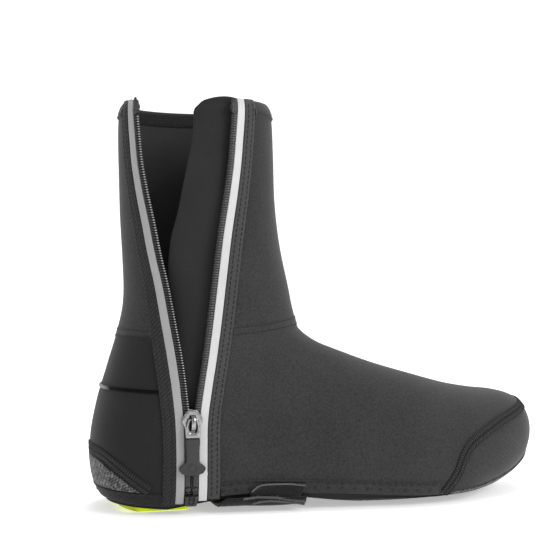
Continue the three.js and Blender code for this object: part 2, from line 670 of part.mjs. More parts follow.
const pivot = sliderSeat.point.clone().addScaledVector(upZip, pivotAbove)
  .addScaledVector(outward, plateTop + (bridgeProud - bridgePly) / 2);
const tabEnd = lateralAt(midLine(sliderRise - linkLength - tabLength), sliderRise - linkLength - tabLength);
const pullUp = pivot.clone()
  .sub(tabEnd.point.clone().addScaledVector(tabEnd.normal, restHeight)).normalize();
const pullOut = across.clone().cross(pullUp).normalize();
const pullAcross = pullUp.clone().cross(pullOut);
const onPull = (points, low, high) => localPrism(points, low, high, pullAcross, pullUp, pullOut, pivot);
const [halfLink, halfHole] = [linkWidth / 2, linkWidth / 2 - linkSide];
const link = onPull(rectangle(-halfLink, halfLink, -linkLength, linkSide / 2), -linkPly / 2, linkPly / 2)
  .subtract(onPull(rectangle(-halfHole, halfHole, -linkHole, -linkSide / 2), -linkPly, linkPly));
const tabTop = -linkLength - gap;
const tabFoot = tabTop - tabLength;
const [halfTab, halfWaist, halfEars] = [tabWidth / 2, tabWaist / 2, earSpan / 2];
const tab = onPull([
  [-halfWaist * 0.7, tabFoot], [halfWaist * 0.7, tabFoot], [halfEars * 0.8, tabFoot + earHeight * 0.14],
  [halfEars, tabFoot + earHeight * 0.5], [halfEars * 0.72, tabFoot + earHeight * 0.86],
  [halfWaist, tabFoot + earHeight], [halfTab, tabTop], [-halfTab, tabTop],
  [-halfWaist, tabFoot + earHeight], [-halfEars * 0.72, tabFoot + earHeight * 0.86],
  [-halfEars, tabFoot + earHeight * 0.5], [-halfEars * 0.8, tabFoot + earHeight * 0.14],
], -tabBack, tabFront);

// Colours and the finished group
const paint = (colour, roughness, metalness = 0) =>
  new THREE.MeshStandardMaterial({ color: colour, roughness, metalness });
const group = new THREE.Group();
group.name = "overshoe";
const pieces = [
  ["upper", upper, () => paint(0x2b2c2e, 0.9)],
  ["outsole", sole, () => paint(0x1b1b1c, 0.8)],
  ["heel_pad", pad, () => paint(0xc8d80a, 0.6)],
  ["ankle_seam", ankleBand, () => paint(0x19191a, 0.9)],
  ["toe_seam", toeBand, () => paint(0x19191a, 0.9)],
  ["heel_seam", heelBand, () => paint(0x19191a, 0.9)],
  ["heel_piping", piping, () => paint(0xb8babd, 0.45)],
  ["heel_patch", heelPatch, () => paint(0x4a4b4d, 0.9)],
  ["toe_patch", toeUnder, () => paint(0x4a4b4d, 0.9)],
  ["tape_rear", tape(rearZone), () => paint(0x1d1d1e, 0.9)],
  ["tape_front", tape(frontZone), () => paint(0x1d1d1e, 0.9)],
  ["teeth_rear", teethRow(rearZone), () => paint(0x2a2a2b, 0.55)],
  ["teeth_front", teethRow(frontZone), () => paint(0x2a2a2b, 0.55)],
  ["reflective_rear", strip(rearZone), () => paint(0xb4b6b9, 0.45)],
  ["reflective_front", strip(frontZone), () => paint(0xd0d2d4, 0.45)],
  ["binding_rear", binding(rearZone), () => paint(0x1c1c1d, 0.9)],
  ["binding_front", binding(frontZone), () => paint(0x1c1c1d, 0.9)],
  ["zip_box", garage, () => paint(0x242425, 0.55)],
  ["storm_flap", flap, () => paint(0x222324, 0.95)],
  ["zip_slider", slider, () => paint(0xb9bbbd, 0.3, 1)],
  ["pull_link", link, () => paint(0xb9bbbd, 0.3, 1)],
  ["pull_tab", tab, () => paint(0x343537, 0.7)],
  ["strap_loop", loop, () => paint(0x161617, 0.9)],
  ["strap_hook", hook, () => paint(0x1b1b1c, 0.9)],
];
for (const [name, solid, material] of pieces) {
  const mesh = new THREE.Mesh(geometryFrom(solid), material());
  mesh.name = name;
  mesh.geometry.translate(-length / 2, 0, 0);
  group.add(mesh);
}

export default group;
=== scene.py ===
import math

import bpy
import numpy as np
from mathutils import Matrix, Vector


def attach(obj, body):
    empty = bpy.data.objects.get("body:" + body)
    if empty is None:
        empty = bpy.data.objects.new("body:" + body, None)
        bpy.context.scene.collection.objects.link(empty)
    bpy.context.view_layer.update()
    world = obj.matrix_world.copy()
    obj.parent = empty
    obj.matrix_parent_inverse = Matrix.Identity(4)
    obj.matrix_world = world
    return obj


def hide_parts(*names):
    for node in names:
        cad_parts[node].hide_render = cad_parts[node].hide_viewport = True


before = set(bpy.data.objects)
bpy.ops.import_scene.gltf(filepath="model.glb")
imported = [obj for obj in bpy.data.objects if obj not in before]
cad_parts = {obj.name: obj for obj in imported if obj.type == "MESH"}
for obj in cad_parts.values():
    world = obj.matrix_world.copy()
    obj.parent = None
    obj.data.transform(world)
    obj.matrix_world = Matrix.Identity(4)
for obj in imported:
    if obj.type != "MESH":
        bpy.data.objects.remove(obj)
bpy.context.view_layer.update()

# Sizes of the overshoe, in metres
LENGTH = 0.294
HEIGHT = 0.246
BALL_WIDTH = 0.106
SHAFT_WIDTH = 0.084
WALL = 0.003
GAP = 0.0003
ARCH_LIFT = 0.0115
COLLAR_HEM = 0.0095
LOWER_HEM = 0.0075
SEAM_WIDTH = 0.0065
MM = 0.001

# The last, from the collar down round the heel to the toe: shares of length, height and widths
COLUMNS = (
    "front_reach front_rise back_reach back_rise lateral medial shaft widest round_top round_low bow"
).split()
SECTIONS = np.array([
    [0.371, 1.0, 0.075, 1.0, 0.476, 0.47, 1, 0.5, 2.1, 2.1, 0],
    [0.383, 0.967, 0.0633, 0.967, 0.506, 0.494, 1, 0.5, 2.1, 2.1, 0],
    [0.387, 0.874, 0.0605, 0.874, 0.512, 0.5, 1, 0.5, 2.1, 2.1, 0],
    [0.392, 0.76, 0.0633, 0.748, 0.506, 0.494, 1, 0.5, 2.1, 2.1, 0],
    [0.404, 0.642, 0.0687, 0.618, 0.494, 0.482, 1, 0.49, 2.1, 2.1, 0],
    [0.421, 0.545, 0.07, 0.512, 0.482, 0.47, 1, 0.47, 2.1, 2.1, 0],
    [0.4345, 0.4755, 0.058, 0.435, 0.476, 0.464, 1, 0.44, 2.1, 2.1, 0],
    [0.444, 0.443, 0.037, 0.35, 0.455, 0.444, 0.8, 0.4, 2.05, 2.15, 0],
    [0.453, 0.431, 0.0136, 0.252, 0.44, 0.429, 0.6, 0.36, 2.0, 2.25, 0],
    [0.465, 0.4195, 0.002, 0.15, 0.423, 0.412, 0.4, 0.33, 2.0, 2.35, 0],
    [0.481, 0.407, 0.0204, 0.04, 0.408, 0.394, 0.2, 0.3, 2.0, 2.5, 0],
    [0.501, 0.395, 0.088, -0.02, 0.396, 0.373, 0, 0.29, 2.0, 2.8, 0],
    [0.531, 0.381, 0.211, -0.024, 0.41, 0.382, 0, 0.29, 2.0, 3.0, 0.005],
    [0.573, 0.362, 0.357, -0.012, 0.443, 0.41, 0, 0.3, 2.0, 3.0, 0.005],
    [0.634, 0.336, 0.51, -0.02, 0.486, 0.457, 0, 0.31, 2.05, 3.0, 0],
    [0.7075, 0.31, 0.646, -0.0285, 0.509, 0.495, 0, 0.32, 2.1, 3.0, 0],
    [0.786, 0.286, 0.772, -0.02, 0.481, 0.481, 0, 0.35, 2.2, 2.8, 0.014],
    [0.857, 0.2705, 0.8535, 0.004, 0.415, 0.425, 0, 0.4, 2.25, 2.6, 0.033],
    [0.915, 0.261, 0.915, 0.0285, 0.344, 0.354, 0, 0.44, 2.25, 2.4, 0.042],
    [0.956, 0.246, 0.956, 0.055, 0.269, 0.274, 0, 0.47, 2.2, 2.3, 0.047],
    [0.9823, 0.22, 0.9823, 0.0855, 0.179, 0.184, 0, 0.5, 2.1, 2.1, 0.049],
    [0.996, 0.189, 0.996, 0.114, 0.094, 0.094, 0, 0.5, 2.0, 2.0, 0.05],
    [1.0, 0.151, 1.0, 0.151, 0, 0, 0, 0.5, 2.0, 2.0, 0.05],
])
LAST_ROW = len(SECTIONS) - 1

# Side lines: reach as a share of length, rise of height unless named otherwise
SEAT = np.array([
    [-0.05, 0.8, 0], [0.034, 0.65, 0], [0.085, 0.54, 0], [0.14, 0.45, 0], [0.19, 0.68, 0],
    [0.25, 0.92, 0], [0.31, 1.0, 0], [0.4, 0.94, 0.04], [0.49, 0.83, 0.3], [0.55, 0.74, 0.72],
    [0.6, 0.66, 0.97], [0.63, 0.62, 1], [0.7, 0.53, 1], [0.765, 0.53, 1], [0.82, 0.56, 0.8],
    [0.9, 0.58, 0], [1.05, 0.58, 0],
])
ZIP_LINES = np.array([
    [0.0, 0.182, 0.186], [0.13, 0.183, 0.187], [0.2, 0.1825, 0.188], [0.23, 0.181, 0.1885],
    [0.26, 0.178, 0.193], [0.31, 0.1735, 0.199], [0.38, 0.1665, 0.209], [0.455, 0.1565, 0.217],
    [0.55, 0.143, 0.226], [0.62, 0.1295, 0.233], [0.69, 0.119, 0.24], [0.765, 0.1055, 0.25],
    [0.845, 0.094, 0.26], [0.955, 0.088, 0.268], [1.02, 0.088, 0.27],
])
FLAP_EDGE = np.array([
    [0.08, 0.175], [0.3, 0.155], [0.5, 0.135], [0.64, 0.14], [0.72, 0.156],
    [0.8, 0.17], [0.86, 0.181], [0.92, 0.19], [1.02, 0.19],
])
ANKLE_SEAM = np.array([
    [0.02, 0.43], [0.075, 0.431], [0.12, 0.428], [0.27, 0.437], [0.33, 0.442], [0.38, 0.449], [0.47, 0.462],
])
PIPING_LINE = np.array([[-0.01, 0.299], [0.05, 0.2985], [0.13, 0.294]])
HEEL_SEAM = np.array([
    [-0.03, 0.158], [0.012, 0.144], [0.037, 0.121], [0.07, 0.088], [0.1, 0.062], [0.13, 0.03],
])
TOE_SEAM = np.array([
    [0.71, 0.02], [0.727, 0.045], [0.748, 0.078], [0.763, 0.115], [0.785, 0.145],
    [0.83, 0.172], [0.88, 0.195], [0.935, 0.214], [0.99, 0.234],
])
TOE_PATCH = np.array([
    [0.7, 0.03], [0.74, 0.031], [0.8, 0.033], [0.84, 0.037], [0.88, 0.046], [0.92, 0.06], [0.94, 0.071],
    [0.975, 0.095],
])

# How much of the sole's full depth there is along it
TREAD_SHARE = np.array([
    [0.31, 0], [0.4, 0.04], [0.49, 0.3], [0.55, 0.72], [0.6, 0.97], [0.63, 1],
    [0.7, 1], [0.74, 0.85], [0.78, 0.35], [0.82, 0], [1.05, 0],
])

# Zip, from the teeth's inner line outward
TEETH_WIDTH = 0.0024
TAPE_EDGE = TEETH_WIDTH + GAP
CLOTH_EDGE = TAPE_EDGE + 0.0042 + GAP
STRIP_EDGE = 0.0037
STRIP_WIDTH = 0.005
BINDING_EDGE = STRIP_EDGE + STRIP_WIDTH + GAP
BINDING_WIDTH = 0.0073
ZIP_SIDE = BINDING_EDGE + BINDING_WIDTH
GARAGE_FOOT = 0.0058
GARAGE_TOP = 0.0118


# The last's surface


def section(u):
    """Each column of the section table at u, on cubics whose slopes join the neighbouring rows."""
    u = np.clip(u, 0, LAST_ROW)
    i = np.minimum(np.floor(u).astype(int), LAST_ROW - 1)
    t = (u - i)[..., None]
    before, start, end, after = (SECTIONS[np.clip(i + k, 0, LAST_ROW)] for k in (-1, 0, 1, 2))
    values = (
        (2 * t**3 - 3 * t**2 + 1) * start + (t**3 - 2 * t**2 + t) * (end - before) / 2
        + (3 * t**2 - 2 * t**3) * end + (t**3 - t**2) * (after - start) / 2
    )
    return dict(zip(COLUMNS, np.moveaxis(values, -1, 0)))


def last_point(u, a):
    """The place at section u and angle a: superellipses between each section's two end points."""
    u, a = np.broadcast_arrays(np.asarray(u, float), np.asarray(a, float))
    s = section(u)
    power = 2 / np.where(np.sin(a) >= 0, s["round_top"], s["round_low"])
    side = np.sign(np.cos(a)) * np.abs(np.cos(a)) ** power
    lift = np.abs(np.sin(a)) ** power
    share = np.where(np.sin(a) >= 0, s["widest"] + (1 - s["widest"]) * lift, s["widest"] * (1 - lift))
    width = s["shaft"] * SHAFT_WIDTH + (1 - s["shaft"]) * BALL_WIDTH
    x = LENGTH * (s["back_reach"] + (s["front_reach"] - s["back_reach"]) * share - 0.5)
    y = s["bow"] * BALL_WIDTH - side * width * np.where(side >= 0, s["lateral"], s["medial"])
    z = HEIGHT * (s["back_rise"] + (s["front_rise"] - s["back_rise"]) * share)
    return np.stack([x, y, z], -1)


def slopes(u, a, step=1e-3):
    """How the place moves with u and with a."""
    u = np.clip(u, step, LAST_ROW - 0.02)
    return (
        (last_point(u + step, a) - last_point(u - step, a)) / (2 * step),
        (last_point(u, a + step) - last_point(u, a - step)) / (2 * step),
    )


def unit(v):
    return v / np.maximum(np.linalg.norm(v, axis=-1, keepdims=True), 1e-12)


def last_normal(u, a):
    """Outward direction: across the two slopes, and straight ahead at the toe's tip."""
    along_u, along_a = slopes(u, a)
    tip = np.broadcast_to(np.asarray(u) > LAST_ROW - 0.01, along_u.shape[:-1])
    return np.where(tip[..., None], [1.0, 0, 0], unit(np.cross(along_u, along_a)))


def shifted(u, a, move):
    """u and a after a short move along the surface, from the slopes' least squares."""
    along_u, along_a = slopes(u, a)
    uu, ua, aa = (along_u**2).sum(-1), (along_u * along_a).sum(-1), (along_a**2).sum(-1)
    mu, ma = (move * along_u).sum(-1), (move * along_a).sum(-1)
    det = np.maximum(uu * aa - ua**2, 1e-16)
    return u + (mu * aa - ma * ua) / det, a + (ma * uu - mu * ua) / det


coarse_u, coarse_a = np.meshgrid(
    np.arange(0, LAST_ROW - 0.5, 0.25), np.linspace(-0.49 * np.pi, 0.49 * np.pi, 41), indexing="ij"
)
coarse_points = last_point(coarse_u, coarse_a).reshape(-1, 3)


def on_side(x, z, medial=False):
    """u and a of one side's places over given x and z: nearest coarse place, then Newton steps."""
    x, z = np.broadcast_arrays(np.asarray(x, float), np.asarray(z, float))
    off = (coarse_points[:, 0] - x.reshape(-1, 1)) ** 2 + (coarse_points[:, 2] - z.reshape(-1, 1)) ** 2
    best = off.argmin(1)
    u, a = coarse_u.ravel()[best], coarse_a.ravel()[best]
    for _ in range(14):
        p = last_point(u, a)
        along_u, along_a = slopes(u, a)
        dx, dz = x.ravel() - p[:, 0], z.ravel() - p[:, 2]
        det = along_u[:, 0] * along_a[:, 2] - along_u[:, 2] * along_a[:, 0]
        det = np.where(np.abs(det) < 1e-9, 1e-9, det)
        u = np.clip(u + (dx * along_a[:, 2] - dz * along_a[:, 0]) / det, 0, LAST_ROW - 0.1)
        a = np.clip(a + (along_u[:, 0] * dz - along_u[:, 2] * dx) / det, -np.pi / 2, np.pi / 2)
    return u.reshape(x.shape), (np.pi - a if medial else a).reshape(x.shape)


# Places beside the zip: rise up the zip and distance out from each row of teeth

ZIP_Z = np.linspace(0.003, HEIGHT, 190)
ZIP_D = np.arange(-0.004, 0.0225, 0.0005)


def zip_table(column, sign):
    """u and a at each rise and distance, walked level along the surface from the line of teeth."""
    x = LENGTH * (np.interp(ZIP_Z / HEIGHT, ZIP_LINES[:, 0], ZIP_LINES[:, column]) - 0.5)
    x = np.convolve(np.pad(x, 6, "edge"), np.ones(13) / 13, "valid")
    home = int(np.argmin(np.abs(ZIP_D)))
    table = np.zeros((len(ZIP_Z), len(ZIP_D), 2))
    for direction in (1, -1):
        u, a = on_side(x, ZIP_Z)
        k = home
        while 0 <= k < len(ZIP_D):
            table[:, k] = np.stack([u, a], -1)
            level = unit(np.cross(last_normal(u, a), [0, 0, 1.0])) * (-sign * direction)
            u, a = shifted(u, a, level * 0.0005)
            k += direction
    return table


ZIP_TABLES = {"rear": zip_table(1, -1), "front": zip_table(2, 1)}


def beside_zip(side, z, d):
    """u and a between the table's places, straight in both directions."""
    z, d = np.broadcast_arrays(np.asarray(z, float), np.asarray(d, float))
    i = np.clip((z - ZIP_Z[0]) / (ZIP_Z[1] - ZIP_Z[0]), 0, len(ZIP_Z) - 1.001)
    k = np.clip((d - ZIP_D[0]) / 0.0005, 0, len(ZIP_D) - 1.001)
    i0, k0 = i.astype(int), k.astype(int)
    ti, tk = (i - i0)[..., None], (k - k0)[..., None]
    t = ZIP_TABLES[side]
    found = (
        (t[i0, k0] * (1 - tk) + t[i0, k0 + 1] * tk) * (1 - ti)
        + (t[i0 + 1, k0] * (1 - tk) + t[i0 + 1, k0 + 1] * tk) * ti
    )
    return found[..., 0], found[..., 1]


def relief(p):
    """Shallow dents of the standing cloth: slow waves round the shaft and soft creases at the ankle."""
    x, y, z = p[..., 0], p[..., 1], p[..., 2]
    shaft = np.clip((z - 0.11) / 0.05, 0, 1)
    waves = np.sin(x * 95 + y * 60 + z * 31) * np.sin(z * 52 - y * 40 + 1.3) * shaft
    bend = np.exp(-(((z - 0.104) / 0.02) ** 2)) * np.clip((x + 0.06) / 0.03, 0, 1)
    folds = np.sin((z * 0.9 + x * 0.45) * 420 + np.sin(y * 60)) * bend
    foot = np.sin(x * 70 + 0.8) * np.sin(y * 55 + z * 60 + 0.5) * np.clip((x + 0.02) / 0.05, 0, 1)
    return 0.00045 * waves + 0.0002 * folds + 0.0003 * foot


def raised(u, a, height):
    """The surface's places, moved outward by a height and the cloth's own relief."""
    p = last_point(u, a)
    return p + last_normal(u, a) * (np.asarray(height) + relief(p))[..., None]


# Meshes


class Shape:
    """Places, four- and three-cornered faces turned outward, and each place's lie across and along."""

    def __init__(self, places, quads=(), tris=(), lay=None):
        self.places = np.asarray(places, float).reshape(-1, 3)
        self.quads = np.asarray(quads, int).reshape(-1, 4)
        self.tris = np.asarray(tris, int).reshape(-1, 3)
        lay = np.zeros((len(self.places), 2)) if lay is None else np.asarray(lay, float)
        self.lay = lay.reshape(-1, 2)
        corners = np.concatenate([self.tris, self.quads[:, :3], self.quads[:, [0, 2, 3]]])
        first, second, third = (self.places[corners[:, k]] - self.places[0] for k in range(3))
        if (first * np.cross(second, third)).sum() < 0:
            self.quads, self.tris = self.quads[:, ::-1], self.tris[:, ::-1]


def together(*shapes):
    """Several shapes as one."""
    firsts = np.cumsum([0] + [len(shape.places) for shape in shapes])
    whole = Shape(np.zeros((1, 3)))
    whole.places = np.concatenate([shape.places for shape in shapes])
    whole.quads = np.concatenate([shape.quads + first for shape, first in zip(shapes, firsts)])
    whole.tris = np.concatenate([shape.tris + first for shape, first in zip(shapes, firsts)])
    whole.lay = np.concatenate([shape.lay for shape in shapes])
    return whole


def piece(name, shape, finish, body="shoe", replaces=(), second=None, smooth=True):
    """A mesh object riding on a body; second is another finish, its first face and where it ends."""
    mesh = bpy.data.meshes.new(name)
    mesh.from_pydata(shape.places.tolist(), [], shape.tris.tolist() + shape.quads.tolist())
    mesh.polygons.foreach_set("use_smooth", np.full(len(mesh.polygons), smooth))
    lay = mesh.attributes.new("lay", "FLOAT_VECTOR", "POINT")
    lay.data.foreach_set("vector", np.pad(shape.lay, ((0, 0), (0, 1))).astype(np.float32).ravel())
    obj = bpy.data.objects.new(name, mesh)
    bpy.context.scene.collection.objects.link(obj)
    mesh.materials.append(finish)
    if second:
        mesh.materials.append(second[0])
        index = np.zeros(len(mesh.polygons), np.int32)
        index[second[1]:second[2]] = 1
        mesh.polygons.foreach_set("material_index", index)
    mesh.update()
    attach(obj, body)
    if replaces:
        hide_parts(*replaces)
    return obj


def grid_faces(rows, cols, wrap_rows=False, wrap_cols=False, first=0):
    """Faces of a grid of places, row by row, closed on itself where asked."""
    i = np.arange(rows if wrap_rows else rows - 1)[:, None]
    k = np.arange(cols if wrap_cols else cols - 1)[None, :]
    i2, k2 = (i + 1) % rows, (k + 1) % cols
    corners = [i * cols + k, i * cols + k2, i2 * cols + k2, i2 * cols + k]
    return np.stack(np.broadcast_arrays(*corners), -1).reshape(-1, 4) + first


def carried(loops, lay=None):
    """A tube through closed loops of places, each end closed by a fan to its loop's middle."""
    rows, cols = loops.shape[:2]
    ends = loops[[0, -1]].mean(1)
    k = np.arange(cols)
    after, last = (k + 1) % cols, (rows - 1) * cols
    fans = [
        np.stack([np.full(cols, rows * cols), k, after], -1),
        np.stack([np.full(cols, rows * cols + 1), last + after, last + k], -1),
    ]
    if lay is not None:
        lay = np.concatenate([lay.reshape(-1, 2), lay[[0, -1]].mean(1)])
    places = np.concatenate([loops.reshape(-1, 3), ends])
    return Shape(places, grid_faces(rows, cols, wrap_cols=True), np.concatenate(fans), lay)


def strip_section(width, low, high, corner=0.35, steps=4, crown=0.0, across=9):
    """A flat closed section: distances across and heights, its upper corners rounded, its top crowned."""
    r = (high - low) * corner
    turn = np.linspace(0, np.pi / 2, steps)
    top = np.linspace(-1, 1, across)[1:-1]
    left = np.stack([-width / 2 + r - r * np.cos(turn), high - r + r * np.sin(turn)], -1)
    middle = np.stack([top * (width / 2 - r), np.full(len(top), high)], -1)
    right = np.stack([width / 2 - r + r * np.sin(turn), high - r + r * np.cos(turn)], -1)
    bottom = np.array([[width / 2, low], [0, low], [-width / 2, low]])
    found = np.concatenate([left, middle, right, bottom])
    found[:, 1] += crown * (1 - (2 * found[:, 0] / width) ** 2) * (found[:, 1] > low)
    return found


def zip_strip(side, near, width, low, high, z, **shape):
    """A strip along one side of the zip, its section carried up the rises z."""
    profile = strip_section(width, low, high, **shape)
    sign = 1 if side == "front" else -1
    d = near + width / 2 + sign * profile[None, :, 0]
    u, a = beside_zip(side, z[:, None], d)
    lay = np.stack(np.broadcast_arrays(d, z[:, None]), -1)
    return carried(raised(u, a, np.broadcast_to(profile[:, 1], u.shape)), lay)


def threads(start, end, out, width, tall, sides=6, rings=4, square=1.0, full=0.5):
    """Rounded pieces between pairs of places: rings about each axis that swell in the middle; a square
    power below one makes them blocky, and a small power full keeps them thick to their ends."""
    along = end - start
    across = unit(np.cross(out, along))
    t = np.linspace(-1, 1, rings)
    swell = np.maximum(1 - (0.97 * t) ** 2, 0) ** full
    turn = np.linspace(0, 2 * np.pi, sides, endpoint=False) + np.pi / sides
    wide = np.sign(np.cos(turn)) * np.abs(np.cos(turn)) ** square
    high = np.sign(np.sin(turn)) * np.abs(np.sin(turn)) ** square
    places = (
        (start + end)[:, None, None, :] / 2
        + along[:, None, None, :] / 2 * t[None, :, None, None]
        + across[:, None, None, :] * (swell[:, None] * wide)[None, :, :, None] * width / 2
        + out[:, None, None, :] * (swell[:, None] * high)[None, :, :, None] * tall / 2
    )
    n, k = len(start), np.arange(sides)
    one = carried(places[0])
    count = rings * sides
    ends = places[:, [0, -1]].mean(2)
    whole = Shape(np.zeros((1, 3)))
    whole.places = np.concatenate([places.reshape(n, -1, 3), ends], axis=1).reshape(-1, 3)
    first = (np.arange(n) * (count + 2))[:, None, None]
    whole.quads = (one.quads[None] + first).reshape(-1, 4)
    whole.tris = (one.tris[None] + first).reshape(-1, 3)
    whole.lay = np.zeros((len(whole.places), 2))
    return whole


def bent_tube(path, width, tall, out, sides=10):
    """A flat bar swept along an open path."""
    run = unit(np.gradient(path, axis=0))
    side = unit(np.cross(out, run))
    lift = np.cross(run, side)
    turn = np.linspace(0, 2 * np.pi, sides, endpoint=False) + np.pi / sides
    wide = np.sign(np.cos(turn)) * np.abs(np.cos(turn)) ** 0.6
    high = np.sign(np.sin(turn)) * np.abs(np.sin(turn)) ** 0.6
    return carried(path[:, None] + side[:, None] * (wide * width / 2)[:, None]
                   + lift[:, None] * (high * tall / 2)[:, None])


def smooth_line(line, count=200):
    """A side line in metres, through its points on a cubic, at even steps."""
    points = line * [LENGTH, HEIGHT] - [LENGTH / 2, 0]
    p = np.concatenate([2 * points[:1] - points[1:2], points, 2 * points[-1:] - points[-2:-1]])
    t = np.linspace(0, len(points) - 1.0001, 600)
    i, f = np.floor(t).astype(int) + 1, (t % 1)[:, None]
    curve = 0.5 * (
        2 * p[i] + (p[i + 1] - p[i - 1]) * f
        + (2 * p[i - 1] - 5 * p[i] + 4 * p[i + 1] - p[i + 2]) * f**2
        + (3 * p[i] - p[i - 1] - 3 * p[i + 1] + p[i + 2]) * f**3
    )
    run = np.concatenate([[0], np.cumsum(np.linalg.norm(np.diff(curve, axis=0), axis=1))])
    even = np.linspace(0, run[-1], count)
    return np.stack([np.interp(even, run, curve[:, k]) for k in (0, 1)], -1)


def seat_rise(x):
    return ARCH_LIFT * np.interp(x / LENGTH + 0.5, SEAT[:, 0], SEAT[:, 1])


def seam_path(line, start, end, count):
    """u at each angle where a side line crosses that angle's run of the last, found by halving."""
    a = np.linspace(start, end, count)
    along = unit(line[-1] - line[0])
    across = np.array([-along[1], along[0]])
    s = line @ along
    order = np.argsort(s)

    def above(u):
        p = last_point(u, a)[:, [0, 2]]
        return p @ across - np.interp(p @ along, s[order], (line @ across)[order])

    trial = np.linspace(0, LAST_ROW - 0.05, 400)
    values = np.stack([above(np.full(count, t)) for t in trial])
    flips = np.diff(np.sign(values), axis=0) != 0
    first = np.where(flips.any(0), flips.argmax(0), len(trial) - 2)
    low, high = trial[first], trial[first + 1]
    sign = np.sign(values[first, np.arange(count)])
    for _ in range(30):
        middle = (low + high) / 2
        same = np.sign(above(middle)) == sign
        low, high = np.where(same, middle, low), np.where(same, high, middle)
    return low, a


def even_path(u, a, step):
    """The same path at even steps of length."""
    p = last_point(u, a)
    run = np.concatenate([[0], np.cumsum(np.linalg.norm(np.diff(p, axis=0), axis=1))])
    even = np.linspace(0, run[-1], max(4, int(round(run[-1] / step)) + 1))
    return np.interp(even, run, u), np.interp(even, run, a), even


def off_path(u, a, across, height):
    """Places beside a path: across it along the surface, and up from it."""
    p = last_point(u, a)
    run = unit(np.gradient(p, axis=0))
    out = last_normal(u, a)
    side = unit(np.cross(out, run))
    across = np.asarray(across)
    uu = np.broadcast_to(u[:, None], (len(u), across.shape[-1])).copy()
    aa = np.broadcast_to(a[:, None], uu.shape).copy()
    for _ in range(4):
        uu, aa = shifted(uu, aa, side[:, None, :] * (across / 4)[..., None])
    return raised(uu, aa, np.broadcast_to(height, uu.shape))


def seam_strip(u, a, width, low, high, step=0.0012, **shape):
    """A flat band along a path on the last."""
    u, a, run = even_path(u, a, step)
    profile = strip_section(width, low, high, **shape)
    lay = np.stack(np.broadcast_arrays(profile[None, :, 0], run[:, None]), -1)
    return carried(off_path(u, a, profile[None, :, 0], profile[None, :, 1]), lay)


def crossing_threads(u, a, left, right, height, pitch, lean, width=0.0006, tall=0.0005):
    """Slanted threads laid side by side across a path, from one distance beside it to another."""
    u, a, run = even_path(u, a, pitch)
    ends = off_path(u, a, np.array([[left, right]]), height)
    start, end = ends[:-1, 0], ends[:-1, 1] * (1 - lean) + ends[1:, 1] * lean
    return threads(start, end, last_normal(u[:-1], a[:-1]), width, tall)


def running_stitch(u, a, across, height, pitch, length, width=0.0006, tall=0.0005):
    """Stitches one after another along a path, a distance beside it."""
    u, a, run = even_path(u, a, pitch / 8)
    line = off_path(u, a, np.array([[across]]), height)[:, 0]
    steps = np.arange(0, len(u) - 9, 8)
    part = length / pitch * 8
    start = line[steps]
    end = line[steps] + (line[steps + 8] - line[steps]) * (part / 8)
    return threads(start, end, last_normal(u[steps + 4], a[steps + 4]), width, tall)


def zip_stitch(side, d, height, z, length, width=0.0006, tall=0.0005):
    """Stitches one above another beside the zip."""
    start, end = (raised(*beside_zip(side, z + k * length / 2, d), height) for k in (-1, 1))
    return threads(start, end, last_normal(*beside_zip(side, z, d)), width, tall)


# Trimmed cloth: a fine grid over u and a, cut along lines where a value is nought


def clipped(nodes, triangles, value):
    """Keeps the side of a triangle mesh where the value is above nought, with new nodes on the line."""
    keep = value > 0
    inside = keep[triangles].sum(1)
    part = triangles[(inside == 1) | (inside == 2)]
    single = keep[part].sum(1) == 1
    odd = (keep[part] == single[:, None]).argmax(1)
    row = np.arange(len(part))
    i, j, m = (part[row, (odd + k) % 3] for k in range(3))
    ends, place = np.unique(
        np.sort(np.concatenate([np.stack([i, j], 1), np.stack([i, m], 1)]), axis=1),
        axis=0, return_inverse=True,
    )
    place = place.reshape(-1) + len(nodes)
    t = (value[ends[:, 0]] / (value[ends[:, 0]] - value[ends[:, 1]]))[:, None]
    nodes = np.concatenate([nodes, nodes[ends[:, 0]] * (1 - t) + nodes[ends[:, 1]] * t])
    p, q = place[:len(part)], place[len(part):]
    two = ~single
    triangles = np.concatenate([
        triangles[inside == 3], np.stack([i, p, q], 1)[single],
        np.stack([p, j, m], 1)[two], np.stack([p, m, q], 1)[two],
    ])
    used = np.unique(triangles)
    renamed = np.full(len(nodes), -1)
    renamed[used] = np.arange(len(used))
    return nodes[used], renamed[triangles]


def rim_edges(triangles):
    """Edges that only one triangle has, in that triangle's direction."""
    edges = np.concatenate([triangles[:, [0, 1]], triangles[:, [1, 2]], triangles[:, [2, 0]]])
    _, index, counts = np.unique(np.sort(edges, axis=1), axis=0, return_index=True, return_counts=True)
    return edges[index[counts == 1]]


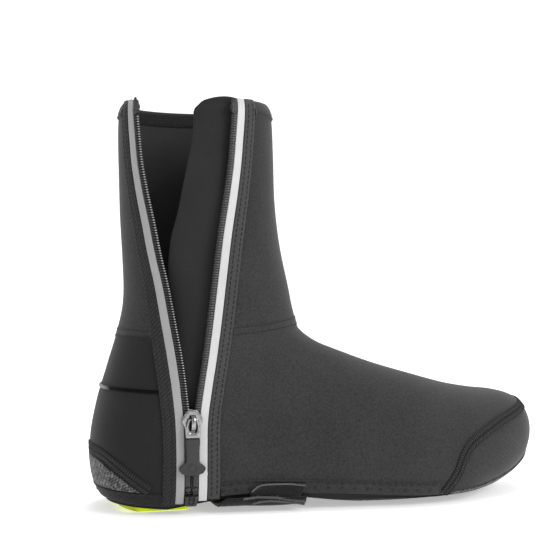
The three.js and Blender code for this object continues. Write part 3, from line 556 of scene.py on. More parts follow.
def walled(outer, inner, triangles, bulge=0.0, rounds=3, lay=None):
    """A closed shell: the outer face, the inner face turned round, and a rounded rim between them."""
    n = len(outer)
    rim = rim_edges(triangles)
    around = np.unique(rim)
    place_of = np.full(n, -1)
    place_of[around] = np.arange(len(around))
    thick = inner - outer
    run = unit(outer[rim[:, 1]] - outer[rim[:, 0]])
    outward = unit(np.cross(run, -unit(thick[rim[:, 0]])))
    away = np.zeros((n, 3))
    np.add.at(away, rim[:, 0], outward)
    np.add.at(away, rim[:, 1], outward)
    away = unit(away)
    levels = np.linspace(0, 1, rounds + 2)[1:-1]
    layers = [
        outer[around] + thick[around] * t + away[around] * bulge * math.sin(math.pi * t) for t in levels
    ]
    i, j = rim[:, 0], rim[:, 1]
    firsts = 2 * n + np.arange(rounds) * len(around)
    between = [(first + place_of[i], first + place_of[j]) for first in firsts]
    chains = [(i, j), *between, (i + n, j + n)]
    quads = np.concatenate([
        np.stack([after[1], after[0], before[0], before[1]], -1)[:, ::-1]
        for before, after in zip(chains[:-1], chains[1:])
    ])
    tris = np.concatenate([triangles, triangles[:, ::-1] + n])
    if lay is not None:
        lay = np.concatenate([lay, lay] + [lay[around]] * rounds)
    return Shape(np.concatenate([outer, inner, *layers]), quads, tris, lay)


def cell_triangles(rows, cols, wrap_cols=False):
    """A grid's cells, each as two triangles."""
    cells = grid_faces(rows, cols, wrap_cols=wrap_cols)
    return np.concatenate([cells[:, [0, 1, 2]], cells[:, [0, 2, 3]]])


def line_offset(line, p):
    """How far a place's x and z lie to the left of a side line, in metres."""
    path = smooth_line(line)
    near = ((p[:, None, [0, 2]] - path[None]) ** 2).sum(-1).argmin(1)
    run = np.gradient(path, axis=0)
    run /= np.linalg.norm(run, axis=1, keepdims=True)
    off = p[:, [0, 2]] - path[near]
    return run[near, 0] * off[:, 1] - run[near, 1] * off[:, 0]


# Materials


class Value:
    """A socket in a material's maths; its operators add Math nodes."""

    def __init__(self, tree, socket):
        self.tree, self.socket = tree, socket

    def maths(self, operation, *others):
        node = self.tree.nodes.new("ShaderNodeMath")
        node.operation = operation
        for entry, value in zip(node.inputs, (self, *others)):
            if isinstance(value, Value):
                self.tree.links.new(value.socket, entry)
            else:
                entry.default_value = value
        return Value(self.tree, node.outputs[0])

    def __add__(self, other):
        return self.maths("ADD", other)

    def __sub__(self, other):
        return self.maths("SUBTRACT", other)

    def __mul__(self, other):
        return self.maths("MULTIPLY", other)

    def __rsub__(self, other):
        return (self * -1.0).maths("ADD", other)

    __radd__, __rmul__ = __add__, __mul__

    def sine(self):
        return self.maths("SINE")

    def power(self, exponent):
        return self.maths("POWER", exponent)

    def clamp(self):
        node = self.maths("ADD", 0.0)
        node.socket.node.use_clamp = True
        return node

    def between(self, low, high):
        """0 below low, 1 above high, straight between."""
        return ((self - low) * (1.0 / (high - low))).clamp()


class Finish:
    """A material: its shader's own values, and the nodes that vary its colour, roughness and bump."""

    def __init__(self, name, roughness=0.8, metallic=0.0, specular=0.5, sheen=0.0):
        self.material = bpy.data.materials.new(name)
        self.material.use_nodes = True
        self.tree = self.material.node_tree
        self.shader = self.tree.nodes["Principled BSDF"]
        self.shader.inputs["Roughness"].default_value = roughness
        self.shader.inputs["Metallic"].default_value = metallic
        self.shader.inputs["Specular IOR Level"].default_value = specular
        self.shader.inputs["Sheen Weight"].default_value = sheen
        self.shader.inputs["Sheen Roughness"].default_value = 0.5

    def node(self, kind, settings=None, output=0, **sockets):
        """A node of a kind: its settings first, then its sockets by name, or by number as in i6."""
        made = self.tree.nodes.new(kind)
        for name, value in (settings or {}).items():
            setattr(made, name, value)
        for name, value in sockets.items():
            entry = made.inputs[int(name[1:]) if name[1:].isdigit() else name]
            if isinstance(value, Value):
                self.tree.links.new(value.socket, entry)
            else:
                entry.default_value = value
        return Value(self.tree, made.outputs[output])

    def place(self):
        return self.node("ShaderNodeTexCoord", output=3)

    def lay(self):
        return self.node("ShaderNodeAttribute", {"attribute_name": "lay"}, output=1)

    def parts(self, vector):
        apart = self.node("ShaderNodeSeparateXYZ", Vector=vector).socket.node
        return [Value(self.tree, out) for out in apart.outputs]

    def noise(self, vector, scale, detail=2.0, rough=0.5):
        return self.node("ShaderNodeTexNoise", Vector=vector, Scale=scale, Detail=detail, Roughness=rough)

    def cells(self, vector, scale, output=0):
        return self.node("ShaderNodeTexVoronoi", Vector=vector, Scale=scale, output=output)

    def mix(self, share, first, second):
        """Two colours by a share."""
        first, second = ((*c, 1.0) if isinstance(c, tuple) else c for c in (first, second))
        return self.node("ShaderNodeMix", {"data_type": "RGBA"}, output=2, i0=share, i6=first, i7=second)

    def paint(self, colour, height, depth, strength=0.5, roughness=None, glow=0.0):
        """Joins what varies to the shader; height goes through a bump of a depth in metres."""
        inputs, links = self.shader.inputs, self.tree.links
        links.new(colour.socket, inputs["Base Color"])
        if roughness is not None:
            links.new(roughness.socket, inputs["Roughness"])
        # glow makes the colour shine by emission as well: a painted light.
        if glow:
            links.new(colour.socket, inputs["Emission Color"])
            inputs["Emission Strength"].default_value = glow
        bump = self.node("ShaderNodeBump", Height=height, Distance=depth, Strength=strength)
        links.new(bump.socket, inputs["Normal"])
        return self.material


def foam_cloth():
    """Knitted face on foam: a mottled melange of grey stitches, darker on the heel panels and, as painted
    shade, towards the top of the shaft, with faint slanted lines low on the toe."""
    f = Finish("foam_cloth", roughness=0.88, specular=0.25, sheen=0.12)
    p = f.place()
    x, y, z = f.parts(p)
    fine = f.noise(p, 1500.0, 2.0, 0.7)
    knit = f.noise(p, 700.0, 3.0, 0.6)
    broad = f.noise(p, 26.0, 3.0, 0.55)
    fleck = f.cells(p, 900.0)
    grain = (fine - 0.5) * 1.5 + (knit - 0.5) * 1.3 + 0.5
    light = (grain * 0.8 + broad * 0.5 - 0.15).clamp()
    colour = f.mix(light, (0.009, 0.0088, 0.009), (0.0455, 0.0448, 0.0455))
    lint = (1.0 - fleck).between(0.93, 1.0) * (broad.between(0.45, 0.7))
    colour = f.mix(lint * 0.35, colour, (0.13, 0.13, 0.13))
    inner = y.between(-0.01, 0.01)
    outer_panel = (1.0 - inner) * (1.0 - (x + 0.095).between(-0.002, 0.002))
    inner_panel = inner * (1.0 - (x + 0.09).between(-0.03, 0.03))
    low = (1.0 - (z - 0.105).between(-0.001, 0.001)) * (outer_panel + inner_panel)
    # Darker on the heel panels; the share that rises with height up the shaft is painted shade.
    colour = f.mix((low * 0.8 + z.between(0.11, 0.2) * 0.2).clamp(), colour, (0.0072, 0.0071, 0.0072))
    toe = (x - 0.1).between(0.0, 0.03)
    lines = ((x + z * 1.4) * (2 * math.pi / 0.004)).sine()
    twill = lines * f.noise(p, 70.0, 3.0, 0.6).between(0.45, 0.65) * toe * (1.0 - z.between(0.03, 0.045))
    colour = f.mix((twill * 0.25).clamp(), colour, (0.16, 0.16, 0.16))
    return f.paint(colour, knit * 0.6 + fine * 0.4, 0.00022, 0.55, roughness=0.88 - toe * 0.15)


def lining_cloth(name, dark, light):
    """Brushed knit inside, plainer than the face."""
    f = Finish(name, roughness=0.95, specular=0.15, sheen=0.1)
    p = f.place()
    fine = f.noise(p, 1300.0, 2.0, 0.6)
    broad = f.noise(p, 30.0, 2.0)
    colour = f.mix((fine * 0.6 + broad * 0.5 - 0.05).clamp(), (dark,) * 3, (light,) * 3)
    return f.paint(colour, fine, 0.0002)


def ribbed_tape(name, dark, light, ribs, slant=0.0):
    """Woven tape: fine ribs across its length, with lint, and the ribs' tops painted paler as a painted
    highlight.
    """
    f = Finish(name, roughness=0.85, specular=0.3, sheen=0.1)
    across, along, _ = f.parts(f.lay())
    wave = ((along + across * slant) * (2 * math.pi / ribs)).sine() * 0.5 + 0.5
    fine = f.noise(f.place(), 1800.0, 2.0, 0.6)
    broad = f.noise(f.place(), 60.0, 3.0, 0.6)
    # The rib wave paints the ribs' tops paler: a painted highlight.
    share = (wave * 0.55 + (fine - 0.5) * 0.9 + broad * 0.25).clamp()
    colour = f.mix(share, (dark, dark, dark * 1.03), (light, light, light * 1.03))
    return f.paint(colour, wave * 0.7 + fine * 0.3, 0.00025, 0.7)


def reflective_band(name, level):
    """Glass bead film: pale grey up to a level, with tiny beads and faint scuffs."""
    f = Finish(name, roughness=0.42, specular=0.5)
    bead = f.noise(f.place(), 2600.0, 1.0, 0.5)
    scuff = f.noise(f.place(), 90.0, 4.0, 0.65)
    share = ((bead - 0.5) * 0.35 + (scuff - 0.5) * 0.3 + 0.6).clamp()
    colour = f.mix(share, (level * 0.55,) * 3, (level,) * 3)
    return f.paint(colour, bead, 0.00006, roughness=scuff * 0.25 + 0.3)


def seam_cover():
    """Flat thread cover of the joins: close cross threads."""
    f = Finish("seam_cover", roughness=0.82, specular=0.3, sheen=0.08)
    across, along, _ = f.parts(f.lay())
    slant = ((along + across * 0.6) * (2 * math.pi / 0.0011)).sine() * 0.5 + 0.5
    back = ((along - across * 0.6) * (2 * math.pi / 0.0011)).sine() * 0.5 + 0.5
    fine = f.noise(f.place(), 2200.0, 2.0, 0.6)
    share = (slant * back * 0.9 + (fine - 0.5) * 0.7 + 0.05).clamp()
    colour = f.mix(share, (0.004, 0.004, 0.004), (0.02, 0.02, 0.02))
    return f.paint(colour, slant * back, 0.0003, 0.8)


def woven_aramid():
    """Coarse abrasion weave: pale, grey and black yarns in a basket, fuzzy at each crossing."""
    f = Finish("woven_aramid", roughness=0.8, specular=0.3, sheen=0.15)
    p = f.place()
    x, y, z = f.parts(p)
    pitch = 2 * math.pi / 0.0021
    warp = ((x * 0.8 + y * 0.5 + z * 0.55) * pitch).sine()
    weft = ((x * -0.5 + y * 0.6 + z * 0.85) * pitch).sine()
    basket = warp * weft * 0.5 + 0.5
    fuzz = f.noise(p, 1500.0, 3.0, 0.7)
    yarn = f.noise(p, 420.0, 2.0, 0.6)
    share = (basket * 0.5 + (fuzz - 0.5) * 2.2 + (yarn - 0.5) * 1.6 + 0.12).clamp()
    colour = f.mix(share.power(1.5), (0.007, 0.007, 0.007), (0.24, 0.24, 0.24))
    return f.paint(colour, basket * 0.6 + fuzz * 0.5, 0.0005, 0.9)


def thread(name="black_thread", level=0.012):
    """Twisted sewing thread."""
    f = Finish(name, roughness=0.6, specular=0.4)
    twist = f.noise(f.place(), 2500.0, 2.0, 0.5)
    colour = f.mix(twist, (level * 0.6,) * 3, (level * 1.9,) * 3)
    return f.paint(colour, twist, 0.0001)


def nickel(name="nickel", level=1.0):
    """Plated die casting: bright, with soft pits and dull patches."""
    f = Finish(name, roughness=0.2, metallic=1.0)
    p = f.place()
    dull = f.noise(p, 420.0, 3.0, 0.6)
    pits = f.noise(p, 1600.0, 2.0, 0.5)
    colour = f.mix(dull, (0.13 * level,) * 3, (0.5 * level,) * 3)
    return f.paint(colour, pits, 0.00004, roughness=dull * 0.22 + 0.13)


def zip_plastic(name="zip_plastic", dark=0.007, light=0.04):
    """Moulded teeth, mottled at random between a dark and a pale level; with pale levels it paints the
    highlights on the rear teeth's tips.
    """
    f = Finish(name, roughness=0.42, specular=0.5)
    worn = f.noise(f.place(), 700.0, 2.0, 0.5)
    colour = f.mix(worn, (dark,) * 3, (light,) * 3)
    return f.paint(colour, worn, 0.00005, roughness=worn * 0.3 + 0.3)


def pull_rubber():
    """Soft moulded rubber: even dark grey, fine blasted grain."""
    f = Finish("pull_rubber", roughness=0.6, specular=0.4)
    grain = f.noise(f.place(), 2400.0, 2.0, 0.5)
    cloud = f.noise(f.place(), 140.0, 2.0, 0.5)
    colour = f.mix((grain * 0.4 + cloud * 0.6).clamp(), (0.018, 0.018, 0.0182), (0.043, 0.043, 0.0434))
    return f.paint(colour, grain, 0.00005, roughness=grain * 0.2 + 0.5)


def piping_film():
    """Dark glossy cord with bead film, painted pale where it turns round the heel as a painted glint."""
    f = Finish("piping_film", roughness=0.5, specular=0.05)
    x, y, z = f.parts(f.place())
    bead = f.noise(f.place(), 1800.0, 2.0, 0.6)
    # The rear of the cord is painted pale grey: a painted glint.
    pale = (1.0 - (x + 0.1395).between(-0.002, 0.002)) * 0.7
    colour = f.mix((pale + (bead - 0.5) * 0.06).clamp(), (0.002, 0.002, 0.002), (0.5, 0.5, 0.5))
    return f.paint(colour, bead, 0.00008, roughness=bead * 0.2 + 0.4)


def heel_yellow():
    """Bright moulded rubber, a little dirty in its grain, its rear painted darker as painted shade, glowing
    a little as painted light.
    """
    f = Finish("heel_yellow", roughness=0.5, specular=0.4)
    p = f.place()
    x, y, z = f.parts(p)
    grain = f.noise(p, 900.0, 3.0, 0.6)
    dirt = f.noise(p, 160.0, 3.0, 0.6).between(0.45, 0.75)
    # Painted shade: the pad's rear face is mixed towards a dark olive.
    rear = 1.0 - (x + 0.1215).between(-0.002, 0.002)
    colour = f.mix(dirt * 0.25, (0.82, 0.95, 0.008), (0.5, 0.56, 0.03))
    colour = f.mix(rear * 0.6, colour, (0.2, 0.22, 0.02))
    # The pad glows a little by emission: painted light.
    return f.paint(colour, grain, 0.00012, glow=0.2)


def sole_rubber():
    """Dull black sole with a small diamond tread, scuffed grey on the raised parts."""
    f = Finish("sole_rubber", roughness=0.75, specular=0.35)
    p = f.place()
    x, y, z = f.parts(p)
    pitch = 2 * math.pi / 0.006
    tread = ((x + y) * pitch).sine().maths("MULTIPLY", ((x - y) * pitch).sine()).between(-0.25, 0.25)
    tread = tread * (1.0 - z.between(0.0003, 0.0007))
    scuff = f.noise(p, 180.0, 4.0, 0.65)
    colour = f.mix((scuff * 0.8 * tread + 0.1).clamp(), (0.012, 0.012, 0.0125), (0.055, 0.055, 0.056))
    return f.paint(colour, tread + scuff * 0.3, 0.0004, 0.7)


def strap_pile():
    """Napped strap: black pile with grey lint along it."""
    f = Finish("strap_pile", roughness=0.9, specular=0.2, sheen=0.2)
    p = f.place()
    pile = f.noise(p, 1500.0, 3.0, 0.7)
    lint = f.noise(p, 500.0, 3.0, 0.7).between(0.56, 0.72)
    colour = f.mix(pile, (0.002, 0.002, 0.002), (0.011, 0.011, 0.011))
    colour = f.mix(lint * 0.15, colour, (0.1, 0.1, 0.1))
    return f.paint(colour, pile, 0.0004, 0.8)


def lint_edge():
    """Pale fuzz on the strap's cut edges."""
    f = Finish("lint_edge", roughness=0.9, specular=0.2, sheen=0.2)
    pile = f.noise(f.place(), 1300.0, 3.0, 0.7)
    colour = f.mix(pile, (0.03, 0.03, 0.03), (0.17, 0.17, 0.17))
    return f.paint(colour, pile, 0.0004, 0.8)


# The inner lining is the flap's knit painted about twice as light: painted light against the shade inside
# the shell.
cloth, lining = foam_cloth(), lining_cloth("inner_lining", 0.024, 0.062)
seam, aramid = seam_cover(), woven_aramid()
binding_tape = {
    # Painted shade: the rear binding is painted darker than the front one.
    "rear": ribbed_tape("rear_binding", 0.006, 0.034, 0.0024, 0.9),
    "front": ribbed_tape("front_binding", 0.02, 0.085, 0.0010, 0.3),
}
carrier_tape = {
    # Painted shade and light: one zip tape, its rear copy painted darker and its front copy lighter.
    "rear": ribbed_tape("rear_carrier", 0.004, 0.018, 0.0009),
    "front": ribbed_tape("front_carrier", 0.02, 0.11, 0.0010),
}
reflective = {
    # The rear strip is the front's film painted darker: painted shade where it faces away from the key
    # light.
    "rear": reflective_band("shaded_reflective_band", 0.36),
    "front": reflective_band("reflective_band", 0.66),
}
black_thread, dark_thread, metal = thread(), thread("dark_thread", 0.004), nickel()
dark_metal = nickel("dark_nickel", 0.08)
pale_thread, flap_lining = thread("pale_thread", 0.032), lining_cloth("flap_lining", 0.012, 0.031)
teeth_finish, rubber, yellow, piping = zip_plastic(), pull_rubber(), heel_yellow(), piping_film()
# Pale tips of the rear teeth: painted highlights.
glint_tip = zip_plastic("glint_tip", 0.2, 0.6)
grip_finish = {
    # Painted shade and light: the same teeth, the rear row painted darker and the front row lighter.
    "rear": zip_plastic("rear_grips", 0.012, 0.05),
    "front": zip_plastic("front_grips", 0.05, 0.13),
}
sole_finish, strap_finish, lint = sole_rubber(), strap_pile(), lint_edge()


# Upper: outer and inner face over u and a, trimmed at the seat and beside the zip


def zip_reach(side, d):
    """The reach at each rise, a distance beside one row of teeth."""
    x = last_point(*beside_zip(side, ZIP_Z, d))[:, 0]
    return lambda z: np.interp(z, ZIP_Z, x)


def beside_open_zip(p, a, d):
    """How far a place lies outside the band between both rows of teeth, grown by a distance."""
    rear, front = (zip_reach(side, d)(p[:, 2]) for side in ("rear", "front"))
    outside = np.maximum(rear - p[:, 0], p[:, 0] - front)
    return np.where(np.cos(a) > -0.05, np.minimum(outside, 0.02), 0.02)


def even_rows(step, start=0.0, end=LAST_ROW):
    """u at even steps of the mean length of four lines along the last."""
    u = np.linspace(start, end, 1500)
    lines = last_point(u[:, None], np.array([[0, 0.5, 1, 1.5]]) * np.pi)
    run = np.linalg.norm(np.diff(lines, axis=0), axis=2).mean(1).cumsum()
    run = np.concatenate([[0], run])
    return np.interp(np.linspace(0, run[-1], int(run[-1] / step)), run, u)


def cloth_shell():
    """The upper's two faces, a wall apart, closed at the toe by one place, with rounded cut edges."""
    around = 168
    rows = even_rows(0.00175)[:-1]
    a = np.linspace(np.pi / 2, 5 * np.pi / 2, around, endpoint=False)
    nodes = np.stack(np.meshgrid(rows, a, indexing="ij"), -1).reshape(-1, 2)
    tip = len(nodes)
    nodes = np.concatenate([nodes, [[LAST_ROW, 0.0]]])
    k = np.arange(around)
    last = (len(rows) - 1) * around
    fan = np.stack([last + k, last + (k + 1) % around, np.full(around, tip)], -1)
    triangles = np.concatenate([cell_triangles(len(rows), around, wrap_cols=True), fan[:, ::-1]])
    p = last_point(*nodes.T)
    nodes, triangles = clipped(nodes, triangles, p[:, 2] - seat_rise(p[:, 0]))
    p = last_point(*nodes.T)
    nodes, triangles = clipped(nodes, triangles, beside_open_zip(p, nodes[:, 1], CLOTH_EDGE))
    u, a = nodes.T
    outer, inner = (raised(u, a, np.full(len(u), height)) for height in (0.0, -WALL))
    return walled(outer, inner, triangles, 0.0004), len(triangles)


shell, face_count = cloth_shell()
piece("upper_cloth", shell, cloth, replaces=["upper"],
      second=(lining, face_count, 2 * face_count))


# Collar: the cloth folded over the rim, with its stitch line on both sides


def collar_place(a, z, height):
    """The place at an angle, rise and height; above the rim it goes straight up."""
    u_rows = np.linspace(0, 2, 60)
    rises = last_point(u_rows, np.zeros(60))[:, 2]
    level = np.minimum(z, HEIGHT)
    u = np.interp(-level, -rises, u_rows)
    return raised(u, a, height) + np.stack([z * 0, z * 0, z - level], -1)


rear_a, front_a = (float(beside_zip(side, HEIGHT - 0.004, ZIP_SIDE + GAP)[1]) for side in ("rear", "front"))
collar_angles = np.linspace(front_a, rear_a + 2 * np.pi, 190)
bend = np.linspace(0, np.pi, 9)
fold_rise = np.concatenate([
    [-COLLAR_HEM, -COLLAR_HEM + 0.0003, -0.006, -0.003], 0.0017 * np.sin(bend) - 0.0014,
    [-0.003, -0.006, -COLLAR_HEM + 0.0003, -COLLAR_HEM, -0.006, -0.0022],
])
fold_height = np.concatenate([
    [0.0001, 0.0007, 0.0009, 0.0009], -0.00125 + 0.00205 * np.cos(bend),
    [-0.0035, -0.0035, -0.0033, -0.0027, -0.0026, -0.0026],
])
loops = collar_place(
    collar_angles[:, None], HEIGHT + fold_rise[None, :] + 0 * collar_angles[:, None],
    np.broadcast_to(fold_height, (len(collar_angles), len(fold_height))),
)
piece("collar_hem", carried(loops), cloth)
stitch_angles = np.linspace(collar_angles[0] + 0.02, collar_angles[-1] - 0.02, 90)
stitches = []
for rise, height in ((-COLLAR_HEM + 0.0011, 0.00085), (-COLLAR_HEM + 0.0011, -0.0036)):
    z = np.full(len(stitch_angles), HEIGHT + rise)
    out = last_normal(np.full(len(stitch_angles), 0.3), stitch_angles) * np.sign(height)
    half = (stitch_angles[1] - stitch_angles[0]) * 0.36
    height = np.full(len(z), height)
    stitches.append(threads(
        collar_place(stitch_angles - half, z, height), collar_place(stitch_angles + half, z, height),
        out, 0.0007, 0.0006,
    ))
piece("collar_stitches", together(*stitches), black_thread)


# Lower hem, along the seat


def seat_path(height):
    """u and a at a height above the seat: toe, inner side, round the heel, outer side, toe."""
    def solve(u, low, high):
        sign = np.sign(high - low)
        low, high = np.full(len(u), low), np.full(len(u), high)
        for _ in range(40):
            middle = (low + high) / 2
            p = last_point(u, middle)
            under = p[:, 2] - seat_rise(p[:, 0]) < height
            low, high = np.where(under, middle, low), np.where(under, high, middle)
        return high
    u = np.linspace(8, 21.6, 6000)
    back = last_point(u, np.full(len(u), -np.pi / 2))
    under = np.flatnonzero(back[:, 2] - seat_rise(back[:, 0]) < height)
    start, end = u[under[0]], u[under[-1]]
    turn = np.linspace(0, np.pi, 1400)[1:-1]
    run = start + (end - start) * (1 - np.cos(turn)) / 2
    lateral, medial = solve(run, -np.pi / 2, -0.02), solve(run, -np.pi / 2, -np.pi + 0.02)
    u = np.concatenate([[end], run[::-1], [start], run, [end]])
    return u, np.concatenate([[-np.pi / 2], medial[::-1], [-np.pi / 2], lateral, [-np.pi / 2]])


def part_of(u, a, keep):
    """The longest unbroken run of a path where a value holds."""
    edges = np.flatnonzero(np.diff(np.concatenate([[0], keep.astype(int), [0]])))
    runs = edges.reshape(-1, 2)
    low, high = runs[(runs[:, 1] - runs[:, 0]).argmax()]
    return u[low:high], a[low:high]


hem_u, hem_a = seat_path(LOWER_HEM / 2)
p = last_point(hem_u, hem_a)
behind_toe = line_offset(TOE_SEAM, p) > SEAM_WIDTH / 2 + GAP
rear_end, front_end = (zip_reach(side, ZIP_SIDE + GAP)(p[:, 2]) for side in ("rear", "front"))
hem_rear = part_of(hem_u, hem_a, behind_toe & ((p[:, 0] < rear_end) | (p[:, 1] > 0)))
hem_front = part_of(hem_u, hem_a, behind_toe & (p[:, 0] > front_end) & (p[:, 1] < 0))
bands, rows = [], []
for u, a in (hem_rear, hem_front):
    bands.append(seam_strip(u, a, LOWER_HEM, -0.0005, 0.0008, step=0.002, corner=0.3))
    rows.append(running_stitch(u, a, LOWER_HEM / 2 - 0.0007, 0.0009, 0.0048, 0.0036, 0.0015, 0.0010))
    rows.append(running_stitch(u, a, -0.0004, 0.0009, 0.008, 0.0024, 0.0018, 0.0008))
piece("lower_hem", together(*bands), cloth)
piece("lower_hem_stitches", together(*rows), dark_thread)


# Sewn bands: a flat cover with dark rows of stitches; at toe and heel paler threads cross between them

ankle_start = float(beside_zip("front", 0.1055, ZIP_SIDE + GAP)[1])
ankle_end = float(beside_zip("rear", 0.1055, ZIP_SIDE + GAP)[1]) + 2 * np.pi
seams = {
    "ankle_seam": seam_path(smooth_line(ANKLE_SEAM), ankle_start, ankle_end, 400),
    "toe_seam": seam_path(smooth_line(TOE_SEAM), -1.45, np.pi + 1.45, 500),
    "heel_seam": seam_path(smooth_line(HEEL_SEAM), -np.pi / 2 - 1.5, -np.pi / 2 + 1.5, 500),
    "heel_piping": seam_path(smooth_line(PIPING_LINE), -np.pi / 2 - 1.5, -np.pi / 2 + 1.5, 500),
}
u, a = seams["toe_seam"]
p = last_point(u, a)
seams["toe_seam"] = part_of(u, a, p[:, 2] > seat_rise(p[:, 0]) + 0.0005)
u, a = seams["heel_seam"]
p = last_point(u, a)
above_hem = p[:, 2] > seat_rise(p[:, 0]) + LOWER_HEM + 0.001
seams["heel_seam"] = part_of(u, a, above_hem & (p[:, 0] < -0.033))
u, a = seams["heel_piping"]
p = last_point(u, a)
before_zip = p[:, 0] < zip_reach("rear", ZIP_SIDE + GAP)(p[:, 2])
seams["heel_piping"] = part_of(u, a, np.where(p[:, 1] < 0, before_zip, p[:, 0] < -0.109))

half = SEAM_WIDTH / 2
raised_rows = ((half - 0.0002, 0.0009), (0.0, 0.0006))
flat_rows = ((half - 0.0012, 0.0006),)
sewn_bands = (
    ("ankle_seam", 0.0002, cloth, flat_rows),
    ("toe_seam", 0.0006, seam, raised_rows),
    ("heel_seam", 0.0006, seam, raised_rows),
)
for name, top, cover, rows in sewn_bands:
    u, a = seams[name]
    band = seam_strip(u, a, SEAM_WIDTH, -0.0002, top, crown=0.0001)
    piece(name + "_cover", band, cover, replaces=[name])
    ridges = [
        running_stitch(u, a, side * where, top + 0.00015, 0.0021, 0.0017, width, 0.0006)
        for side in (-1, 1) for where, width in rows
    ]
    piece(name + "_threads", together(*ridges), dark_thread)
    if cover is seam:
        crossings = [
            crossing_threads(u, a, side * (half - 0.0005), side * 0.0004, top + 0.0002, 0.0015, lean)
            for side, lean in ((-1, 0.9), (1, 0.1))
        ]
        piece(name + "_crossings", together(*crossings), pale_thread)

u, a = seams["heel_piping"]
piece("heel_piping_cord", seam_strip(u, a, 0.0021, -0.0002, 0.0009, corner=0.5, crown=0.0001, across=5),
      piping, replaces=["heel_piping"])


# Woven patches


def patch(rows, angles, values, high, low=0.0001):
    """A trimmed sheet of the last's surface, lying on the upper."""
    u, a = np.meshgrid(rows, angles, indexing="ij")
    nodes = np.stack([u, a], -1).reshape(-1, 2)
    triangles = cell_triangles(len(rows), len(angles))
    for value in values:
        nodes, triangles = clipped(nodes, triangles, value(last_point(*nodes.T), nodes[:, 1]))
    u, a = nodes.T
    outer, inner = (raised(u, a, np.full(len(u), height)) for height in (high, low))
    return walled(outer, inner, triangles, 0.0002, 1)


heel_shape = patch(
    even_rows(0.0011, 8.2, 12.4), np.linspace(-np.pi / 2 - 1.35, -np.pi / 2 + 1.35, 120),
    [
        lambda p, a: p[:, 2] - seat_rise(p[:, 0]) - LOWER_HEM - GAP,
        lambda p, a: -line_offset(HEEL_SEAM, p) - SEAM_WIDTH / 2 - GAP,
        lambda p, a: -0.05 - p[:, 0],
    ],
    0.001,
)
piece("heel_weave", heel_shape, aramid, replaces=["heel_patch"])
toe_shape = patch(
    even_rows(0.0013, 15.5, LAST_ROW - 0.04), np.linspace(-np.pi - 0.3, 0.3, 150),
    [
        lambda p, a: p[:, 2] - seat_rise(p[:, 0]),
        lambda p, a: -line_offset(TOE_SEAM, p) - SEAM_WIDTH / 2 - GAP,
        lambda p, a: -line_offset(TOE_PATCH, p),
    ],
    0.0009,
)
piece("toe_weave", toe_shape, aramid, replaces=["toe_patch"])


# Zip: tapes, teeth, stops, reflective strips and bindings

zip_rises = np.linspace(GARAGE_TOP + GAP, HEIGHT, 190)
TOOTH_PITCH = 0.0015


def foot_of(side, d):
    """The rise at which the line a distance beside the teeth meets the seat."""
    x = zip_reach(side, d)(0.006)
    return float(seat_rise(x)) + 0.0003


def teeth_row(side, z, inner, outer, low, high, tall):
    """Moulded teeth, each a blocky bar across the tape."""
    start = raised(*beside_zip(side, z, inner), (low + high) / 2)
    end = raised(*beside_zip(side, z, outer), (low + high) / 2)
    u, a = beside_zip(side, z, (inner + outer) / 2)
    return threads(start, end, last_normal(u, a), tall, high - low, sides=8, square=0.55, full=0.18)


OPEN_FROM, CLOSED_TO = 0.0610, 0.0608
for side, shift in (("rear", 0.0), ("front", TOOTH_PITCH / 2)):
    tape = zip_strip(side, TAPE_EDGE - 0.0022, 0.0064, -0.0011, -0.0001, zip_rises, corner=0.3)
    piece("zip_tape_" + side, tape, carrier_tape[side], replaces=["tape_" + side])
    opened = np.arange(OPEN_FROM, HEIGHT - 0.0105, TOOTH_PITCH) + shift
    closed = np.arange(GARAGE_TOP + 0.0012, CLOSED_TO, TOOTH_PITCH) + shift
    stop = np.array([0.0152])
    tops = np.array([HEIGHT - 0.0062])
    grips = teeth_row(side, opened, 0.0016, 0.0036, -0.0004, 0.0006, 0.0009)
    piece("zip_grips_" + side, grips, grip_finish[side])
    # Only the rear row gets pale tips, a painted highlight.
    if side == "rear":
        tips = teeth_row(side, opened, -0.0003, 0.0006, -0.0003, 0.0010, 0.0007)
        piece("zip_tips_rear", tips, glint_tip)
    parts = [
        teeth_row(side, opened, -0.0001, 0.0018, -0.0016, 0.0007, 0.00095),
        teeth_row(side, closed, -0.0007, 0.0020, -0.0016, 0.0004, 0.00095),
        zip_strip(side, 0.0003, 0.0031, -0.0008, 0.0007, np.linspace(0.0168, 0.0455, 30)),
        teeth_row(side, stop, -0.0001, 0.0030, -0.0016, 0.0015, 0.0031),
        teeth_row(side, tops, -0.0004, 0.0032, -0.0019, 0.0016, 0.0078),
    ]
    piece("zip_teeth_" + side, together(*parts), teeth_finish, replaces=["teeth_" + side])
    z = np.linspace(foot_of(side, STRIP_EDGE), HEIGHT, 200)
    film = zip_strip(side, STRIP_EDGE, STRIP_WIDTH, -0.0002, 0.0009, z, corner=0.3)
    piece("reflective_" + side + "_film", film, reflective[side],
          replaces=["reflective_" + side])
    z = np.linspace(foot_of(side, BINDING_EDGE), HEIGHT, 260)
    band = zip_strip(side, BINDING_EDGE, BINDING_WIDTH, -0.0002, 0.0012, z, corner=0.4, across=13)
    piece("binding_" + side + "_tape", band, binding_tape[side], replaces=["binding_" + side])
    z = np.arange(z[0] + 0.003, HEIGHT - 0.002, 0.0031)
    rows = [
        zip_stitch(side, BINDING_EDGE + 0.0022, 0.00125, z, 0.0024, 0.0009, 0.0006),
        zip_stitch(side, ZIP_SIDE - 0.0018, 0.00125, z + 0.001, 0.0024, 0.0009, 0.0006),
    ]
    piece("binding_" + side + "_stitches", together(*rows), dark_thread)


# Folded ends of both tapes, two blunt folds each, standing beside the top stops

